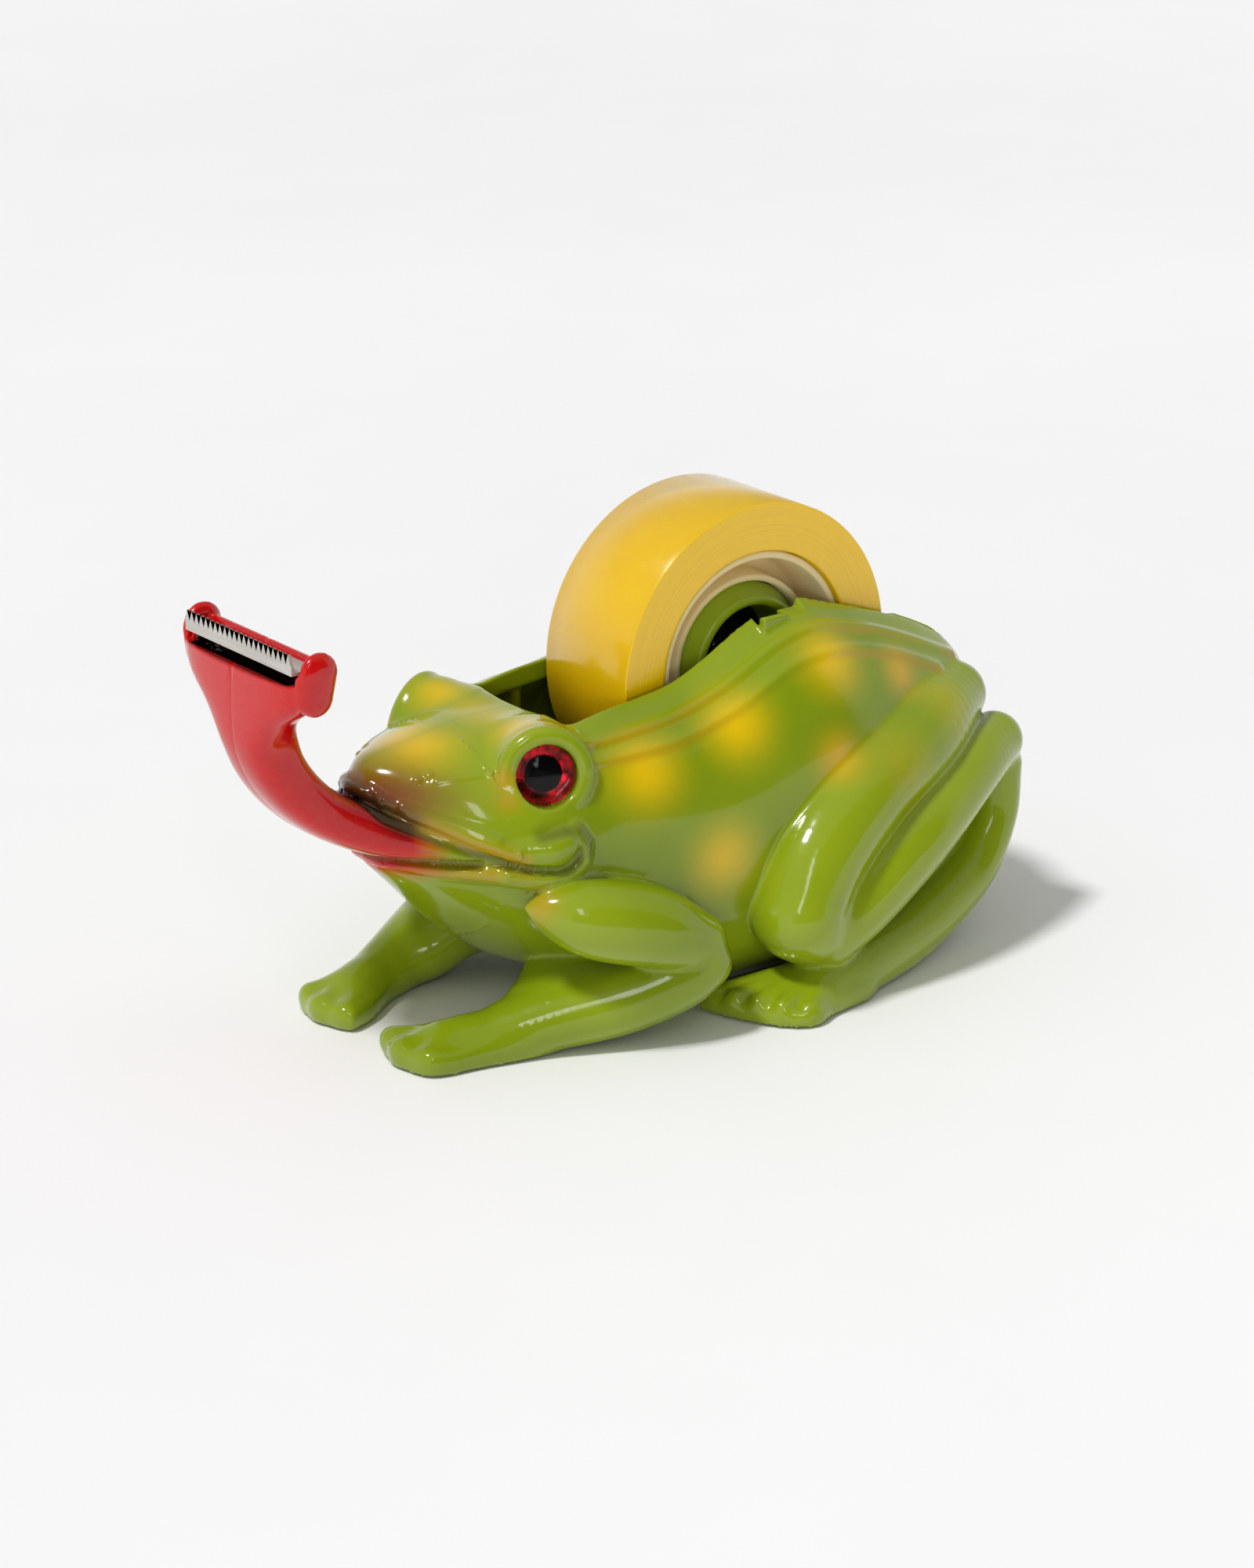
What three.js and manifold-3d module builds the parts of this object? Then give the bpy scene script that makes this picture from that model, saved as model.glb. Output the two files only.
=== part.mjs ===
// A desk tape dispenser shaped as a crouching frog. Millimetres, +Z up, nose towards -X.
// The body is two half shells that meet on the middle plane. A hub on a loose axle carries the
// tape roll in a well in the frog's back, and a toothed steel blade sits on the raised tongue.
// Lengthways positions (x) are measured from the axle; the whole group is then moved by AXLE_X,
// so that the origin is the middle of the footprint, at table height.
import * as THREE from 'three';
import { mergeVertices } from 'three/addons/utils/BufferGeometryUtils.js';
import Module from 'manifold-3d';

const wasm = await Module();
wasm.setup();

// ---- Driving dimensions ----------------------------------------------------------------------
const AXLE_X = 20.2;            // axle line, from the middle of the footprint
const AXLE_Z = 46.4;            // axle line, above the table
const GAP = 0.3;                // running and assembly gap between neighbouring pieces

const TAPE_WIDTH = 19;          // standard 3/4 inch tape
const ROLL_RADIUS = 23.9;
const CORE_RADIUS = 16.6;       // outer tube of the core
const CORE_BORE = 11.6;         // radius of the core's inner tube
const CORE_WALL = 0.9;
const CORE_RECESS = 2.6;        // how far the core's inner tube stands back from the tape's side
const HUB_RADIUS = 11.3;
const HUB_HALF_WIDTH = 8.4;
const HUB_MOUTH = 8.6;          // radius of the hollow in each end of the hub
const REEL_SIDES = 40;
const AXLE_RADIUS = 2;
const AXLE_HALF_LENGTH = 13;

const WELL_FRONT = -36.3;
const WELL_REAR = 37.5;
const WELL_HALF_WIDTH = 11;
const RIM_THICKNESS = 2;
const RIM_DEPTH = 4;            // height of the band round the well
const WALL = 2.4;               // shell thickness
const SLOT_HALF_WIDTH = AXLE_RADIUS + GAP;

const SOLE_Z = 0.3;             // underside of the feet; the pads stand out below it
const PAD_RADIUS = 3.2;
const PAD_TOP = 1.8;

const COVER = { front: -29, rear: 25, halfWidth: 14, bottom: 1.7, top: 3.5, corner: 5 };
const SCREWS = [[-24, -10.5], [-24, 10.5], [20, -10.5], [20, 10.5]];
const SCREW_HEAD_RADIUS = 2.6;
const SCREW_SHANK_RADIUS = 1.2;
const POST_RADIUS = 3;
const BALLAST = { front: -16.8, rear: 13.8, halfWidth: 12, bottom: 3.8, top: 16.5, corner: 3 };

// The frog's trunk and head, as one loft of rounded sections from the snout to the rump.
// Each station: [x, half width, underside z, top z, z of the widest line].
const TRUNK = [
  [-65.2, 0, 34.5, 36.5, 35.5],
  [-63.8, 3.4, 28.6, 41, 35],
  [-61, 7.2, 25.6, 42.6, 33.4],
  [-57, 11.6, 21.8, 43.6, 31.6],
  [-52.8, 15.6, 17.2, 44.4, 30],
  [-47.6, 19.3, 12.6, 45.3, 29],
  [-43, 20.9, 9.6, 45.8, 28],
  [-36, 21.4, 5.6, 46.4, 27],
  [-30, 22.2, 1.8, 47.6, 26],
  [-23, 23.4, -1, 48.2, 24.5],
  [-17, 24.2, -1.8, 49.2, 23.8],
  [-11, 24.9, -2, 51.8, 23.5],
  [-4, 25.4, -2, 55.6, 24],
  [4, 25.6, -2, 58, 24],
  [12, 25, -2, 56, 24],
  [22, 22.6, -1.5, 52.8, 25],
  [30, 20, 1, 49.6, 26],
  [36, 17, 5, 45.6, 27.5],
  [40.8, 11, 12, 39.2, 28],
  [42.8, 0, 28, 29, 28.5],
];
const SECTION_POWER = 2.4;      // 2 is an ellipse; more is squarer
const BELLY_Z = 1.2;            // the underside is cut flat here

// Limbs of the left side: runs of [x, y, z, radius], y negative. The right side is mirrored.
const LIMBS = {
  upper_arm: [[-47, -19.8, 22.7, 1.8], [-39.2, -23, 20.3, 5.7], [-31.3, -25.2, 17.9, 5.8], [-24.4, -26.4, 14.4, 4.5]],
  forearm: [[-23.6, -26.6, 11.4, 4.5], [-34.1, -22, 6.6, 5], [-42.3, -18.1, 4.7, 4.7], [-57.4, -12.2, 2.2, 2.9]],
  thigh: [[33.6, -16.4, 35.2, 5.2], [21.6, -19.4, 34, 6.7], [8.6, -22.8, 29.2, 7], [-1.7, -25.6, 22.4, 6.7],
    [-6.6, -27.3, 14.5, 6.6]],
  shin: [[39, -18.2, 28, 4.2], [18.4, -24, 19.8, 5.6], [6.8, -26.2, 13.3, 5.5], [-1.4, -27, 9.8, 4.8]],
  tarsus: [[39.9, -17.8, 25, 3.7], [38.8, -18.2, 17, 3.7], [32.6, -19.6, 9.6, 4.1], [18.8, -23.4, 4.8, 4.3],
    [-3.4, -28.4, 2.8, 4.2]],
  hock_web: [[36, -13, 26, 3.6], [32, -14, 16, 4.2], [8, -20, 6, 4]],
};
const FRONT_TOES = { wrist: [-54.5, -12.6, 2.8, 2.6], tips: [[-62.3, -5.9], [-63.2, -10.1], [-61.9, -14.6]] };
const HIND_TOES = {
  wrist: [-1, -27.4, 4.4, 2.8],
  tips: [[-16.2, -21.2], [-15, -25], [-12.8, -29], [-8.6, -32.6]],
};
const TOE_RADIUS = 2.2;
const PADS = { front: [-59, -11], rear: [-8, -27.4] };

// The tongue: its side outline, then its front outline, both closed loops.
const TONGUE_SIDE = [
  [-52, 26], [-60.9, 27.6], [-65.6, 29.7], [-72, 33.4], [-75.6, 36.3], [-80, 41.4],
  [-83, 46.8], [-83.8, 51.2], [-84, 57.2], [-83.6, 61.6], [-82.6, 62.6], [-76.8, 63],
  [-76.4, 61.4], [-77.4, 58.4], [-77.4, 54.6], [-76.4, 49.6], [-74.4, 44.6], [-71, 40.6],
  [-66, 38], [-52, 37],
];
const TONGUE_FRONT = [
  [-15, 67], [-15.2, 59.5], [-13.8, 56.4], [-10.4, 53], [-6.6, 49], [-5.6, 45], [-6, 40], [-7, 36],
  [-9, 30], [-10, 22], [10, 22], [9, 30], [7, 36], [6, 40], [5.6, 45], [6.6, 49], [10.4, 53],
  [13.8, 56.4], [15.2, 59.5], [15, 67],
];
const LUG = { x: -79, y: 14.3, z: 62, radius: 2.9, halfWidth: 1.5 };

const BLADE = { halfWidth: 13.1, front: -82.3, thickness: 0.5, bottom: 61.9, top: 64.8 };
const BLADE_TOOTH_DEPTH = 1.1;
const BLADE_TEETH = 22;
const BLADE_FLANGE = 4.2;       // length of the flat leg behind the toothed leg

const EYE = { x: -43, y: -16.4, z: 40.5, turn: 24, lift: 10, ring: 6.7, lens: 4.7, pupil: 2.35 };
const EYE_SOCKET_DEPTH = 2.6;

// ---- Colours ---------------------------------------------------------------------------------
function finish(colour, roughness, metalness = 0) {
  return new THREE.MeshStandardMaterial({ color: colour, roughness, metalness });
}
const GREEN = finish(0x6f9a1c, 0.2);
const BLACK_PLASTIC = finish(0x1c1c1c, 0.6);
const IRON = finish(0x4a4a4a, 0.7, 0.8);
const STEEL = finish(0xb9b6ae, 0.35, 1);
const RUBBER = finish(0x2a2a2a, 0.9);
const AMBER = finish(0xe9b414, 0.25);
const BEIGE = finish(0xcbb078, 0.4);
const RED = finish(0xc01020, 0.15);
const PUPIL_BLACK = finish(0x060606, 0.1);
const CLEAR = finish(0xf4f4f4, 0.05);

// ---- Solids ----------------------------------------------------------------------------------
function solid(geometry) {
  const bare = geometry.clone();
  bare.deleteAttribute('normal');
  bare.deleteAttribute('uv');
  const merged = mergeVertices(bare, 1e-4);
  const corners = [];
  for (let i = 0; i < merged.index.count; i += 3) {
    const [a, b, c] = [0, 1, 2].map((k) => merged.index.getX(i + k));
    if (a !== b && b !== c && c !== a) corners.push(a, b, c);
  }
  const vertProperties = new Float32Array(merged.attributes.position.array);
  return new wasm.Manifold(new wasm.Mesh({ numProp: 3, vertProperties, triVerts: new Uint32Array(corners) }));
}

function join(solids) {
  return solids.reduce((whole, piece) => whole.add(piece));
}

function geometryOf(body) {
  const { vertProperties, triVerts } = body.getMesh();
  const geometry = new THREE.BufferGeometry();
  geometry.setAttribute('position', new THREE.BufferAttribute(vertProperties, 3));
  geometry.setIndex(new THREE.BufferAttribute(triVerts, 1));
  geometry.computeVertexNormals();
  return geometry;
}

function block([x0, x1], [y0, y1], [z0, z1]) {
  const geometry = new THREE.BoxGeometry(x1 - x0, y1 - y0, z1 - z0);
  return geometry.translate((x0 + x1) / 2, (y0 + y1) / 2, (z0 + z1) / 2);
}

// A run of round sections of changing radius: one rounded cone from each point to the next.
function roundedCone(start, end, sides, arcSteps) {
  const from = new THREE.Vector3(...start);
  const along = new THREE.Vector3(...end).sub(from);
  const length = along.length();
  const lean = Math.asin((start[3] - end[3]) / length);
  const profile = [];
  for (let i = 0; i <= arcSteps; i += 1) {
    const angle = -Math.PI / 2 + (i / arcSteps) * (lean + Math.PI / 2);
    profile.push(new THREE.Vector2(start[3] * Math.cos(angle), start[3] * Math.sin(angle)));
  }
  for (let i = 0; i <= arcSteps; i += 1) {
    const angle = lean + (i / arcSteps) * (Math.PI / 2 - lean);
    profile.push(new THREE.Vector2(end[3] * Math.cos(angle), length + end[3] * Math.sin(angle)));
  }
  profile[0].x = 0;
  profile[profile.length - 1].x = 0;
  const geometry = new THREE.LatheGeometry(profile, sides);
  const turn = new THREE.Quaternion().setFromUnitVectors(new THREE.Vector3(0, 1, 0), along.normalize());
  return geometry.applyQuaternion(turn).translate(from.x, from.y, from.z);
}

function limb(points, sides = 10, arcSteps = 2) {
  const pieces = [];
  for (let i = 0; i + 1 < points.length; i += 1) {
    pieces.push(solid(roundedCone(points[i], points[i + 1], sides, arcSteps)));
  }
  return join(pieces);
}

// The trunk's loft: a sphere whose rings are moved onto the stations' rounded sections.
function trunk(inset, around, along) {
  const spine = new THREE.CatmullRomCurve3(TRUNK.map(([x, w, low]) => new THREE.Vector3(x, w, low)));
  const back = new THREE.CatmullRomCurve3(TRUNK.map(([x, , , top, mid]) => new THREE.Vector3(x, top, mid)));
  const geometry = new THREE.SphereGeometry(1, around, along);
  const position = geometry.attributes.position;
  const root = 2 / SECTION_POWER;
  const bend = (value) => Math.sign(value) * Math.abs(value) ** root;
  for (let i = 0; i < position.count; i += 1) {
    const polar = Math.acos(THREE.MathUtils.clamp(position.getY(i), -1, 1));
    const ring = Math.hypot(position.getX(i), position.getZ(i));
    const across = ring > 1e-6 ? position.getX(i) / ring : 0;
    const up = ring > 1e-6 ? position.getZ(i) / ring : 0;
    const step = polar / Math.PI;
    const low = spine.getPoint(step);
    const high = back.getPoint(step);
    const halfWidth = Math.max(low.y - inset, 0);
    const top = Math.max(high.y - inset, high.z);
    const bottom = Math.min(low.z + inset, high.z);
    const reach = up > 0 ? top - high.z : high.z - bottom;
    position.setXYZ(i, low.x, halfWidth * bend(across) * Math.sign(ring), high.z + reach * bend(up));
  }
  return solid(geometry);
}

function extrusion(outline, depth) {
  const shape = new THREE.Shape(outline.map(([u, v]) => new THREE.Vector2(u, v)));
  return new THREE.ExtrudeGeometry(shape, { depth, bevelEnabled: false });
}

// Outlines drawn in x and z, with their thickness along y.
function sideExtrusion(outline, y0, y1) {
  const geometry = extrusion(outline, y1 - y0);
  return geometry.rotateX(Math.PI / 2).translate(0, y1, 0);
}

// Outlines drawn in y and z, with their thickness along x.
function frontExtrusion(outline, x0, x1) {
  const geometry = extrusion(outline, x1 - x0);
  return geometry.rotateY(Math.PI / 2).rotateX(Math.PI / 2).translate(x0, 0, 0);
}

function revolved(profile, sides) {
  return new THREE.LatheGeometry(profile.map(([r, y]) => new THREE.Vector2(r, y)), sides);
}

function roundedPlate(x0, x1, halfWidth, corner, z0, z1) {
  const shape = new THREE.Shape();
  shape.moveTo(x0 + corner, -halfWidth);
  shape.lineTo(x1 - corner, -halfWidth);
  shape.absarc(x1 - corner, corner - halfWidth, corner, -Math.PI / 2, 0);
  shape.lineTo(x1, halfWidth - corner);
  shape.absarc(x1 - corner, halfWidth - corner, corner, 0, Math.PI / 2);
  shape.lineTo(x0 + corner, halfWidth);
  shape.absarc(x0 + corner, halfWidth - corner, corner, Math.PI / 2, Math.PI);
  shape.lineTo(x0, corner - halfWidth);
  shape.absarc(x0 + corner, corner - halfWidth, corner, Math.PI, 1.5 * Math.PI);
  const geometry = new THREE.ExtrudeGeometry(shape, { depth: z1 - z0, bevelEnabled: false, curveSegments: 4 });
  return geometry.translate(0, 0, z0);
}

function upright(x, y, radius, z0, z1, sides = 20) {
  const geometry = new THREE.CylinderGeometry(radius, radius, z1 - z0, sides);
  return geometry.rotateX(Math.PI / 2).translate(x, y, (z0 + z1) / 2);
}

// ---- Body shells -----------------------------------------------------------------------------
function toes({ wrist, tips }) {
  return join(tips.map(([x, y]) => limb([wrist, [x, y, TOE_RADIUS + 0.2, TOE_RADIUS]], 7, 2)));
}

function eyeAxis() {
  const turn = THREE.MathUtils.degToRad(EYE.turn);
  const lift = THREE.MathUtils.degToRad(EYE.lift);
  return new THREE.Vector3(-Math.sin(turn) * Math.cos(lift), -Math.cos(turn) * Math.cos(lift), Math.sin(lift));
}

// Moves geometry made round the local Y axis onto the left eye's axis, y = 0 at the eye's face.
function ontoEye(geometry) {
  const turn = new THREE.Quaternion().setFromUnitVectors(new THREE.Vector3(0, 1, 0), eyeAxis());
  return geometry.applyQuaternion(turn).translate(EYE.x, EYE.y, EYE.z);
}

function eyeTurret() {
  const profile = [[0, -12], [EYE.ring - 1, -12], [EYE.ring, -8], [EYE.ring, -1], [EYE.ring - 0.8, 0], [0, 0]];
  return solid(ontoEye(revolved(profile, 22)));
}

function eyeSocket() {
  const radius = EYE.lens + GAP;
  return solid(ontoEye(revolved([[0, -EYE_SOCKET_DEPTH], [radius, -EYE_SOCKET_DEPTH], [radius, 2], [0, 2]], 22)));
}

function tongue() {
  const side = solid(sideExtrusion(TONGUE_SIDE, -20, 20));
  const front = solid(frontExtrusion(TONGUE_FRONT, -90, -50));
  const lugs = [-1, 1].map((s) => {
    const y = s * LUG.y;
    return solid(new THREE.CylinderGeometry(LUG.radius, LUG.radius, 2 * LUG.halfWidth, 16).translate(LUG.x, y, LUG.z));
  });
  const seat = block([-90, -77.5], [-BLADE.halfWidth - GAP, BLADE.halfWidth + GAP], [BLADE.bottom - GAP, 70]);
  return join([side.intersect(front), ...lugs]).subtract(solid(seat));
}

function leftShell() {
  const outer = trunk(0, 24, 24).subtract(solid(block([-90, 90], [-60, 60], [-20, BELLY_Z])));
  const cavity = trunk(WALL, 12, 12).subtract(solid(block([-90, 90], [-60, 60], [-20, BELLY_Z + WALL])));
  const bodyParts = [outer, tongue(), eyeTurret(), toes(FRONT_TOES), toes(HIND_TOES)];
  Object.values(LIMBS).forEach((points) => bodyParts.push(limb(points)));
  const skin = join(bodyParts).subtract(cavity);

  const rimLow = TRUNK.filter(([x]) => x > -41 && x < 40).map(([x, , , top]) => [x, top - RIM_DEPTH]);
  const rimOutline = [...rimLow, [39, 70], [-40, 70]];
  const rimY = [-WELL_HALF_WIDTH - RIM_THICKNESS, -WELL_HALF_WIDTH];
  const band = solid(sideExtrusion(rimOutline, ...rimY)).intersect(outer);
  const cheek = solid(block([-6, 6], [-22, -WELL_HALF_WIDTH], [33, 53])).intersect(outer);
  const ribs = [-27, -18, 15, 24].map((x) => {
    return solid(block([x - 0.8, x + 0.8], [-26, -WELL_HALF_WIDTH - 1], [14, 48])).intersect(outer);
  });
  const posts = SCREWS.filter(([, y]) => y < 0).map(([x, y]) => {
    const web = solid(block([x - 1, x + 1], [-26, y], [COVER.top + GAP, 12])).intersect(outer);
    return solid(upright(x, y, POST_RADIUS, COVER.top + GAP, 12)).add(web);
  });

  const cuts = [
    block([WELL_FRONT, WELL_REAR], [-WELL_HALF_WIDTH, 5], [34, 80]),
    block([-SLOT_HALF_WIDTH, SLOT_HALF_WIDTH], [-AXLE_HALF_LENGTH - GAP, 0], [AXLE_Z, 80]),
    new THREE.CylinderGeometry(SLOT_HALF_WIDTH, SLOT_HALF_WIDTH, AXLE_HALF_LENGTH + GAP, 20)
      .translate(0, -(AXLE_HALF_LENGTH + GAP) / 2, AXLE_Z),
    block([-1.6, 3.6], [-17, 0], [53, 80]),
    roundedPlate(COVER.front - GAP, COVER.rear + GAP, COVER.halfWidth + GAP, COVER.corner, -2, COVER.top + GAP),
    block([-90, 90], [-60, 60], [-10, SOLE_Z]),
    block([-90, 90], [-GAP / 2, 60], [-10, 90]),
    ...SCREWS.map(([x, y]) => upright(x, y, SCREW_SHANK_RADIUS + GAP, 0, 11, 12)),
    ...Object.values(PADS).map(([x, y]) => upright(x, y, PAD_RADIUS + GAP, -1, PAD_TOP + GAP, 18)),
  ].map(solid);
  cuts.push(eyeSocket());
  return cuts.reduce((body, cut) => body.subtract(cut), join([skin, band, cheek, ...ribs, ...posts]));
}

function mirrored(geometry) {
  const copy = geometry.clone().scale(1, -1, 1);
  const index = copy.index.array;
  for (let i = 0; i < index.length; i += 3) {
    [index[i], index[i + 1]] = [index[i + 1], index[i]];
  }
  copy.computeVertexNormals();
  return copy;
}

// ---- Underside -------------------------------------------------------------------------------
function bellyCover() {
  const plate = solid(roundedPlate(COVER.front, COVER.rear, COVER.halfWidth, COVER.corner, COVER.bottom, COVER.top));
  const holes = SCREWS.flatMap(([x, y]) => [
    upright(x, y, SCREW_SHANK_RADIUS + GAP, 0, 6, 12),
    upright(x, y, SCREW_HEAD_RADIUS + GAP, 0, COVER.bottom + 0.9, 20),
  ]);
  return holes.map(solid).reduce((body, hole) => body.subtract(hole), plate);
}

function screw(x, y) {
  const head = COVER.bottom + 0.1;
  const profile = [[0, head], [SCREW_HEAD_RADIUS, head], [SCREW_HEAD_RADIUS, head + 0.5],
    [SCREW_SHANK_RADIUS, head + 0.5], [SCREW_SHANK_RADIUS, 9.6], [0, 10.4]];
  const turned = revolved(profile, 20).rotateX(Math.PI / 2).translate(x, y, 0);
  const slot = block([x - 2, x + 2], [y - 0.35, y + 0.35], [head - 1, head + 0.25]);
  return solid(turned).subtract(solid(slot));
}

function ballast() {
  return roundedPlate(BALLAST.front, BALLAST.rear, BALLAST.halfWidth, BALLAST.corner, BALLAST.bottom, BALLAST.top);
}

// ---- Reel ------------------------------------------------------------------------------------
function tapeRoll() {
  const inner = CORE_RADIUS + GAP;
  const side = TAPE_WIDTH / 2;
  return revolved([[inner, -side], [ROLL_RADIUS, -side], [ROLL_RADIUS, side], [inner, side], [inner, -side]], REEL_SIDES);
}

function tapeCore() {
  const outerIn = CORE_RADIUS - CORE_WALL;
  const innerOut = CORE_BORE + CORE_WALL;
  const side = TAPE_WIDTH / 2 - 0.6;
  const inside = TAPE_WIDTH / 2 - CORE_RECESS;
  const web = 0.6;
  return revolved([
    [CORE_BORE, -inside], [innerOut, -inside], [innerOut, -web], [outerIn, -web], [outerIn, -side],
    [CORE_RADIUS, -side], [CORE_RADIUS, side], [outerIn, side], [outerIn, web], [innerOut, web],
    [innerOut, inside], [CORE_BORE, inside], [CORE_BORE, -inside],
  ], REEL_SIDES);
}

function tapeHub() {
  const w = HUB_HALF_WIDTH;
  const bore = AXLE_RADIUS + GAP;
  const half = [
    [bore, 3], [4.4, 3], [4.4, 1], [HUB_MOUTH, 1], [HUB_MOUTH, w - 1.4], [HUB_RADIUS - 1.8, w],
    [HUB_RADIUS - 1, w], [HUB_RADIUS, w - 2.4],
  ];
  const lower = half.map(([r, y]) => [r, -y]);
  const upper = half.slice().reverse();
  return revolved([...lower, ...upper, lower[0]], REEL_SIDES);
}

function hubAxle() {
  const l = AXLE_HALF_LENGTH;
  const profile = [[0, -l], [AXLE_RADIUS - 0.4, -l], [AXLE_RADIUS, 0.4 - l], [AXLE_RADIUS, l - 0.4],
    [AXLE_RADIUS - 0.4, l], [0, l]];
  return revolved(profile, 24);
}

// ---- Cutter ----------------------------------------------------------------------------------
function cutterBlade() {
  const { halfWidth, front, thickness, bottom, top } = BLADE;
  const pitch = (2 * halfWidth) / BLADE_TEETH;
  const outline = [[-halfWidth, bottom], [halfWidth, bottom]];
  for (let i = 0; i < BLADE_TEETH; i += 1) {
    const y = halfWidth - i * pitch;
    outline.push([y, top - BLADE_TOOTH_DEPTH], [y - pitch / 2, top]);
  }
  outline.push([-halfWidth, top - BLADE_TOOTH_DEPTH]);
  const toothed = solid(frontExtrusion(outline, front, front + thickness));
  const flange = block([front, front + BLADE_FLANGE], [-halfWidth, halfWidth], [bottom, bottom + thickness]);
  return toothed.add(solid(flange));
}

// ---- Eyes (left side; the right side is mirrored) --------------------------------------------
function eyeIris() {
  const y = GAP - EYE_SOCKET_DEPTH;
  return ontoEye(revolved([[0, y], [EYE.lens, y], [EYE.lens, y + 0.6], [0, y + 0.6]], 24));
}

function eyePupil() {
  const y = 2 * GAP + 0.6 - EYE_SOCKET_DEPTH;
  return ontoEye(revolved([[0, y], [EYE.pupil, y], [EYE.pupil, y + 0.3], [0, y + 0.3]], 20));
}

function eyeLens() {
  const base = 3 * GAP + 0.9 - EYE_SOCKET_DEPTH;
  const profile = [[0, base], [EYE.lens, base], [EYE.lens, base + 0.5]];
  const steps = 4;
  for (let i = 1; i <= steps; i += 1) {
    const angle = (i / steps) * (Math.PI / 2);
    profile.push([EYE.lens * Math.cos(angle), base + 0.5 + 2.2 * Math.sin(angle)]);
  }
  profile[profile.length - 1][0] = 0;
  return ontoEye(revolved(profile, 20));
}

// ---- Assembly --------------------------------------------------------------------------------
const group = new THREE.Group();
group.position.x = AXLE_X;

function place(name, shape, material, parent = group) {
  const mesh = new THREE.Mesh(shape.isBufferGeometry ? shape : geometryOf(shape), material);
  mesh.name = name;
  parent.add(mesh);
  return mesh;
}

const shell = geometryOf(leftShell());
place('body_shell_left', shell, GREEN);
place('body_shell_right', mirrored(shell), GREEN);
place('belly_cover', bellyCover(), BLACK_PLASTIC);
place('ballast_weight', ballast(), IRON);
SCREWS.forEach(([x, y], i) => place(`belly_screw_${i + 1}`, screw(x, y), STEEL));
for (const [end, [x, y]] of Object.entries(PADS)) {
  place(`foot_pad_${end}_left`, upright(x, y, PAD_RADIUS, 0, PAD_TOP), RUBBER);
  place(`foot_pad_${end}_right`, upright(x, -y, PAD_RADIUS, 0, PAD_TOP), RUBBER);
}
place('cutter_blade', cutterBlade(), STEEL);

const reel = new THREE.Group();
reel.position.z = AXLE_Z;
group.add(reel);
place('hub_axle', hubAxle(), STEEL, reel);
place('tape_hub', tapeHub(), GREEN, reel);
place('tape_core', tapeCore(), BEIGE, reel);
place('tape_roll', tapeRoll(), AMBER, reel);

const EYE_PIECES = { iris: [eyeIris(), RED], pupil: [eyePupil(), PUPIL_BLACK], lens: [eyeLens(), CLEAR] };
for (const [piece, [geometry, material]] of Object.entries(EYE_PIECES)) {
  const left = geometryOf(solid(geometry));
  place(`eye_${piece}_left`, left, material);
  place(`eye_${piece}_right`, mirrored(left), material);
}

export default group;
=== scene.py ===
import math

import bmesh
import bpy
import numpy as np
from mathutils import Matrix, Vector


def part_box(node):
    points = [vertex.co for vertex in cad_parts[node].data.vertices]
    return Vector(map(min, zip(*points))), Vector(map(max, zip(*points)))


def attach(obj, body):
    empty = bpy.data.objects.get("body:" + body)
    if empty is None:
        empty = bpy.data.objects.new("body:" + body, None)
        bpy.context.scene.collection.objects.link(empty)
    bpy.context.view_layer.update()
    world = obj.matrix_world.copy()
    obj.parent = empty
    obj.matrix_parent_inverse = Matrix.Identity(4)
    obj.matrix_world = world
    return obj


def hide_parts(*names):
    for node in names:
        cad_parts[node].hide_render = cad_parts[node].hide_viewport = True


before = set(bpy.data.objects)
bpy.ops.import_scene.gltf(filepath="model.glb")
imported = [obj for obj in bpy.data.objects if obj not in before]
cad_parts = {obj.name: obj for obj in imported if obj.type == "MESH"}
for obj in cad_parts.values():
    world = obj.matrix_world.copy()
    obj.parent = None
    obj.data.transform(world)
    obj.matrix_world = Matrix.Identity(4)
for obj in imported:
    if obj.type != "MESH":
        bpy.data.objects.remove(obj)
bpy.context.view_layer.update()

# Shapes are worked out in millimetres, with x measured from the reel's axle, y >= 0 for the right half.
MM = 0.001
axle_low, axle_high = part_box("hub_axle")
AXLE_X = (axle_low.x + axle_high.x) / 2 / MM
AXLE_Z = (axle_low.z + axle_high.z) / 2 / MM


def node_box(name):
    """Lowest and highest corner of a CAD node, in this script's millimetres."""
    low, high = (np.array(corner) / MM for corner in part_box(name))
    low[0] -= AXLE_X
    high[0] -= AXLE_X
    return low, high


def half_sizes(name):
    """Radius and half width of a CAD node that is round about the axle."""
    low, high = node_box(name)
    return (high[0] - low[0]) / 2, (high[1] - low[1]) / 2


ROLL_OUTER, ROLL_HALF = half_sizes("tape_roll")
CORE_OUTER, CORE_HALF = half_sizes("tape_core")
HUB_OUTER, HUB_HALF = half_sizes("tape_hub")
HUB_MOUTH = HUB_OUTER - 3.0      # radius of the hollow in the hub's face


# ---- Distance fields: P is a tuple of x, y, z arrays; negative is inside ----
def spline(points, steps):
    """Catmull-Rom curve through rows of numbers, `steps` rows for each span."""
    p = np.asarray(points, float)
    p = np.vstack([2 * p[0] - p[1], p, 2 * p[-1] - p[-2]])
    rows = []
    for i in range(1, len(p) - 2):
        t = np.linspace(0, 1, steps, endpoint=False)[:, None]
        a, b, c, d = p[i - 1], p[i], p[i + 1], p[i + 2]
        rows.append(0.5 * (2 * b + (c - a) * t + (2 * a - 5 * b + 4 * c - d) * t ** 2
                           + (3 * b - a - 3 * c + d) * t ** 3))
    rows.append(p[-2][None])
    return np.vstack(rows)


def blend(a, b, k):
    """Smooth union of two fields; k is the width of the fillet."""
    h = np.clip(0.5 + 0.5 * (b - a) / k, 0, 1)
    return b + (a - b) * h - k * h * (1 - h)


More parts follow.
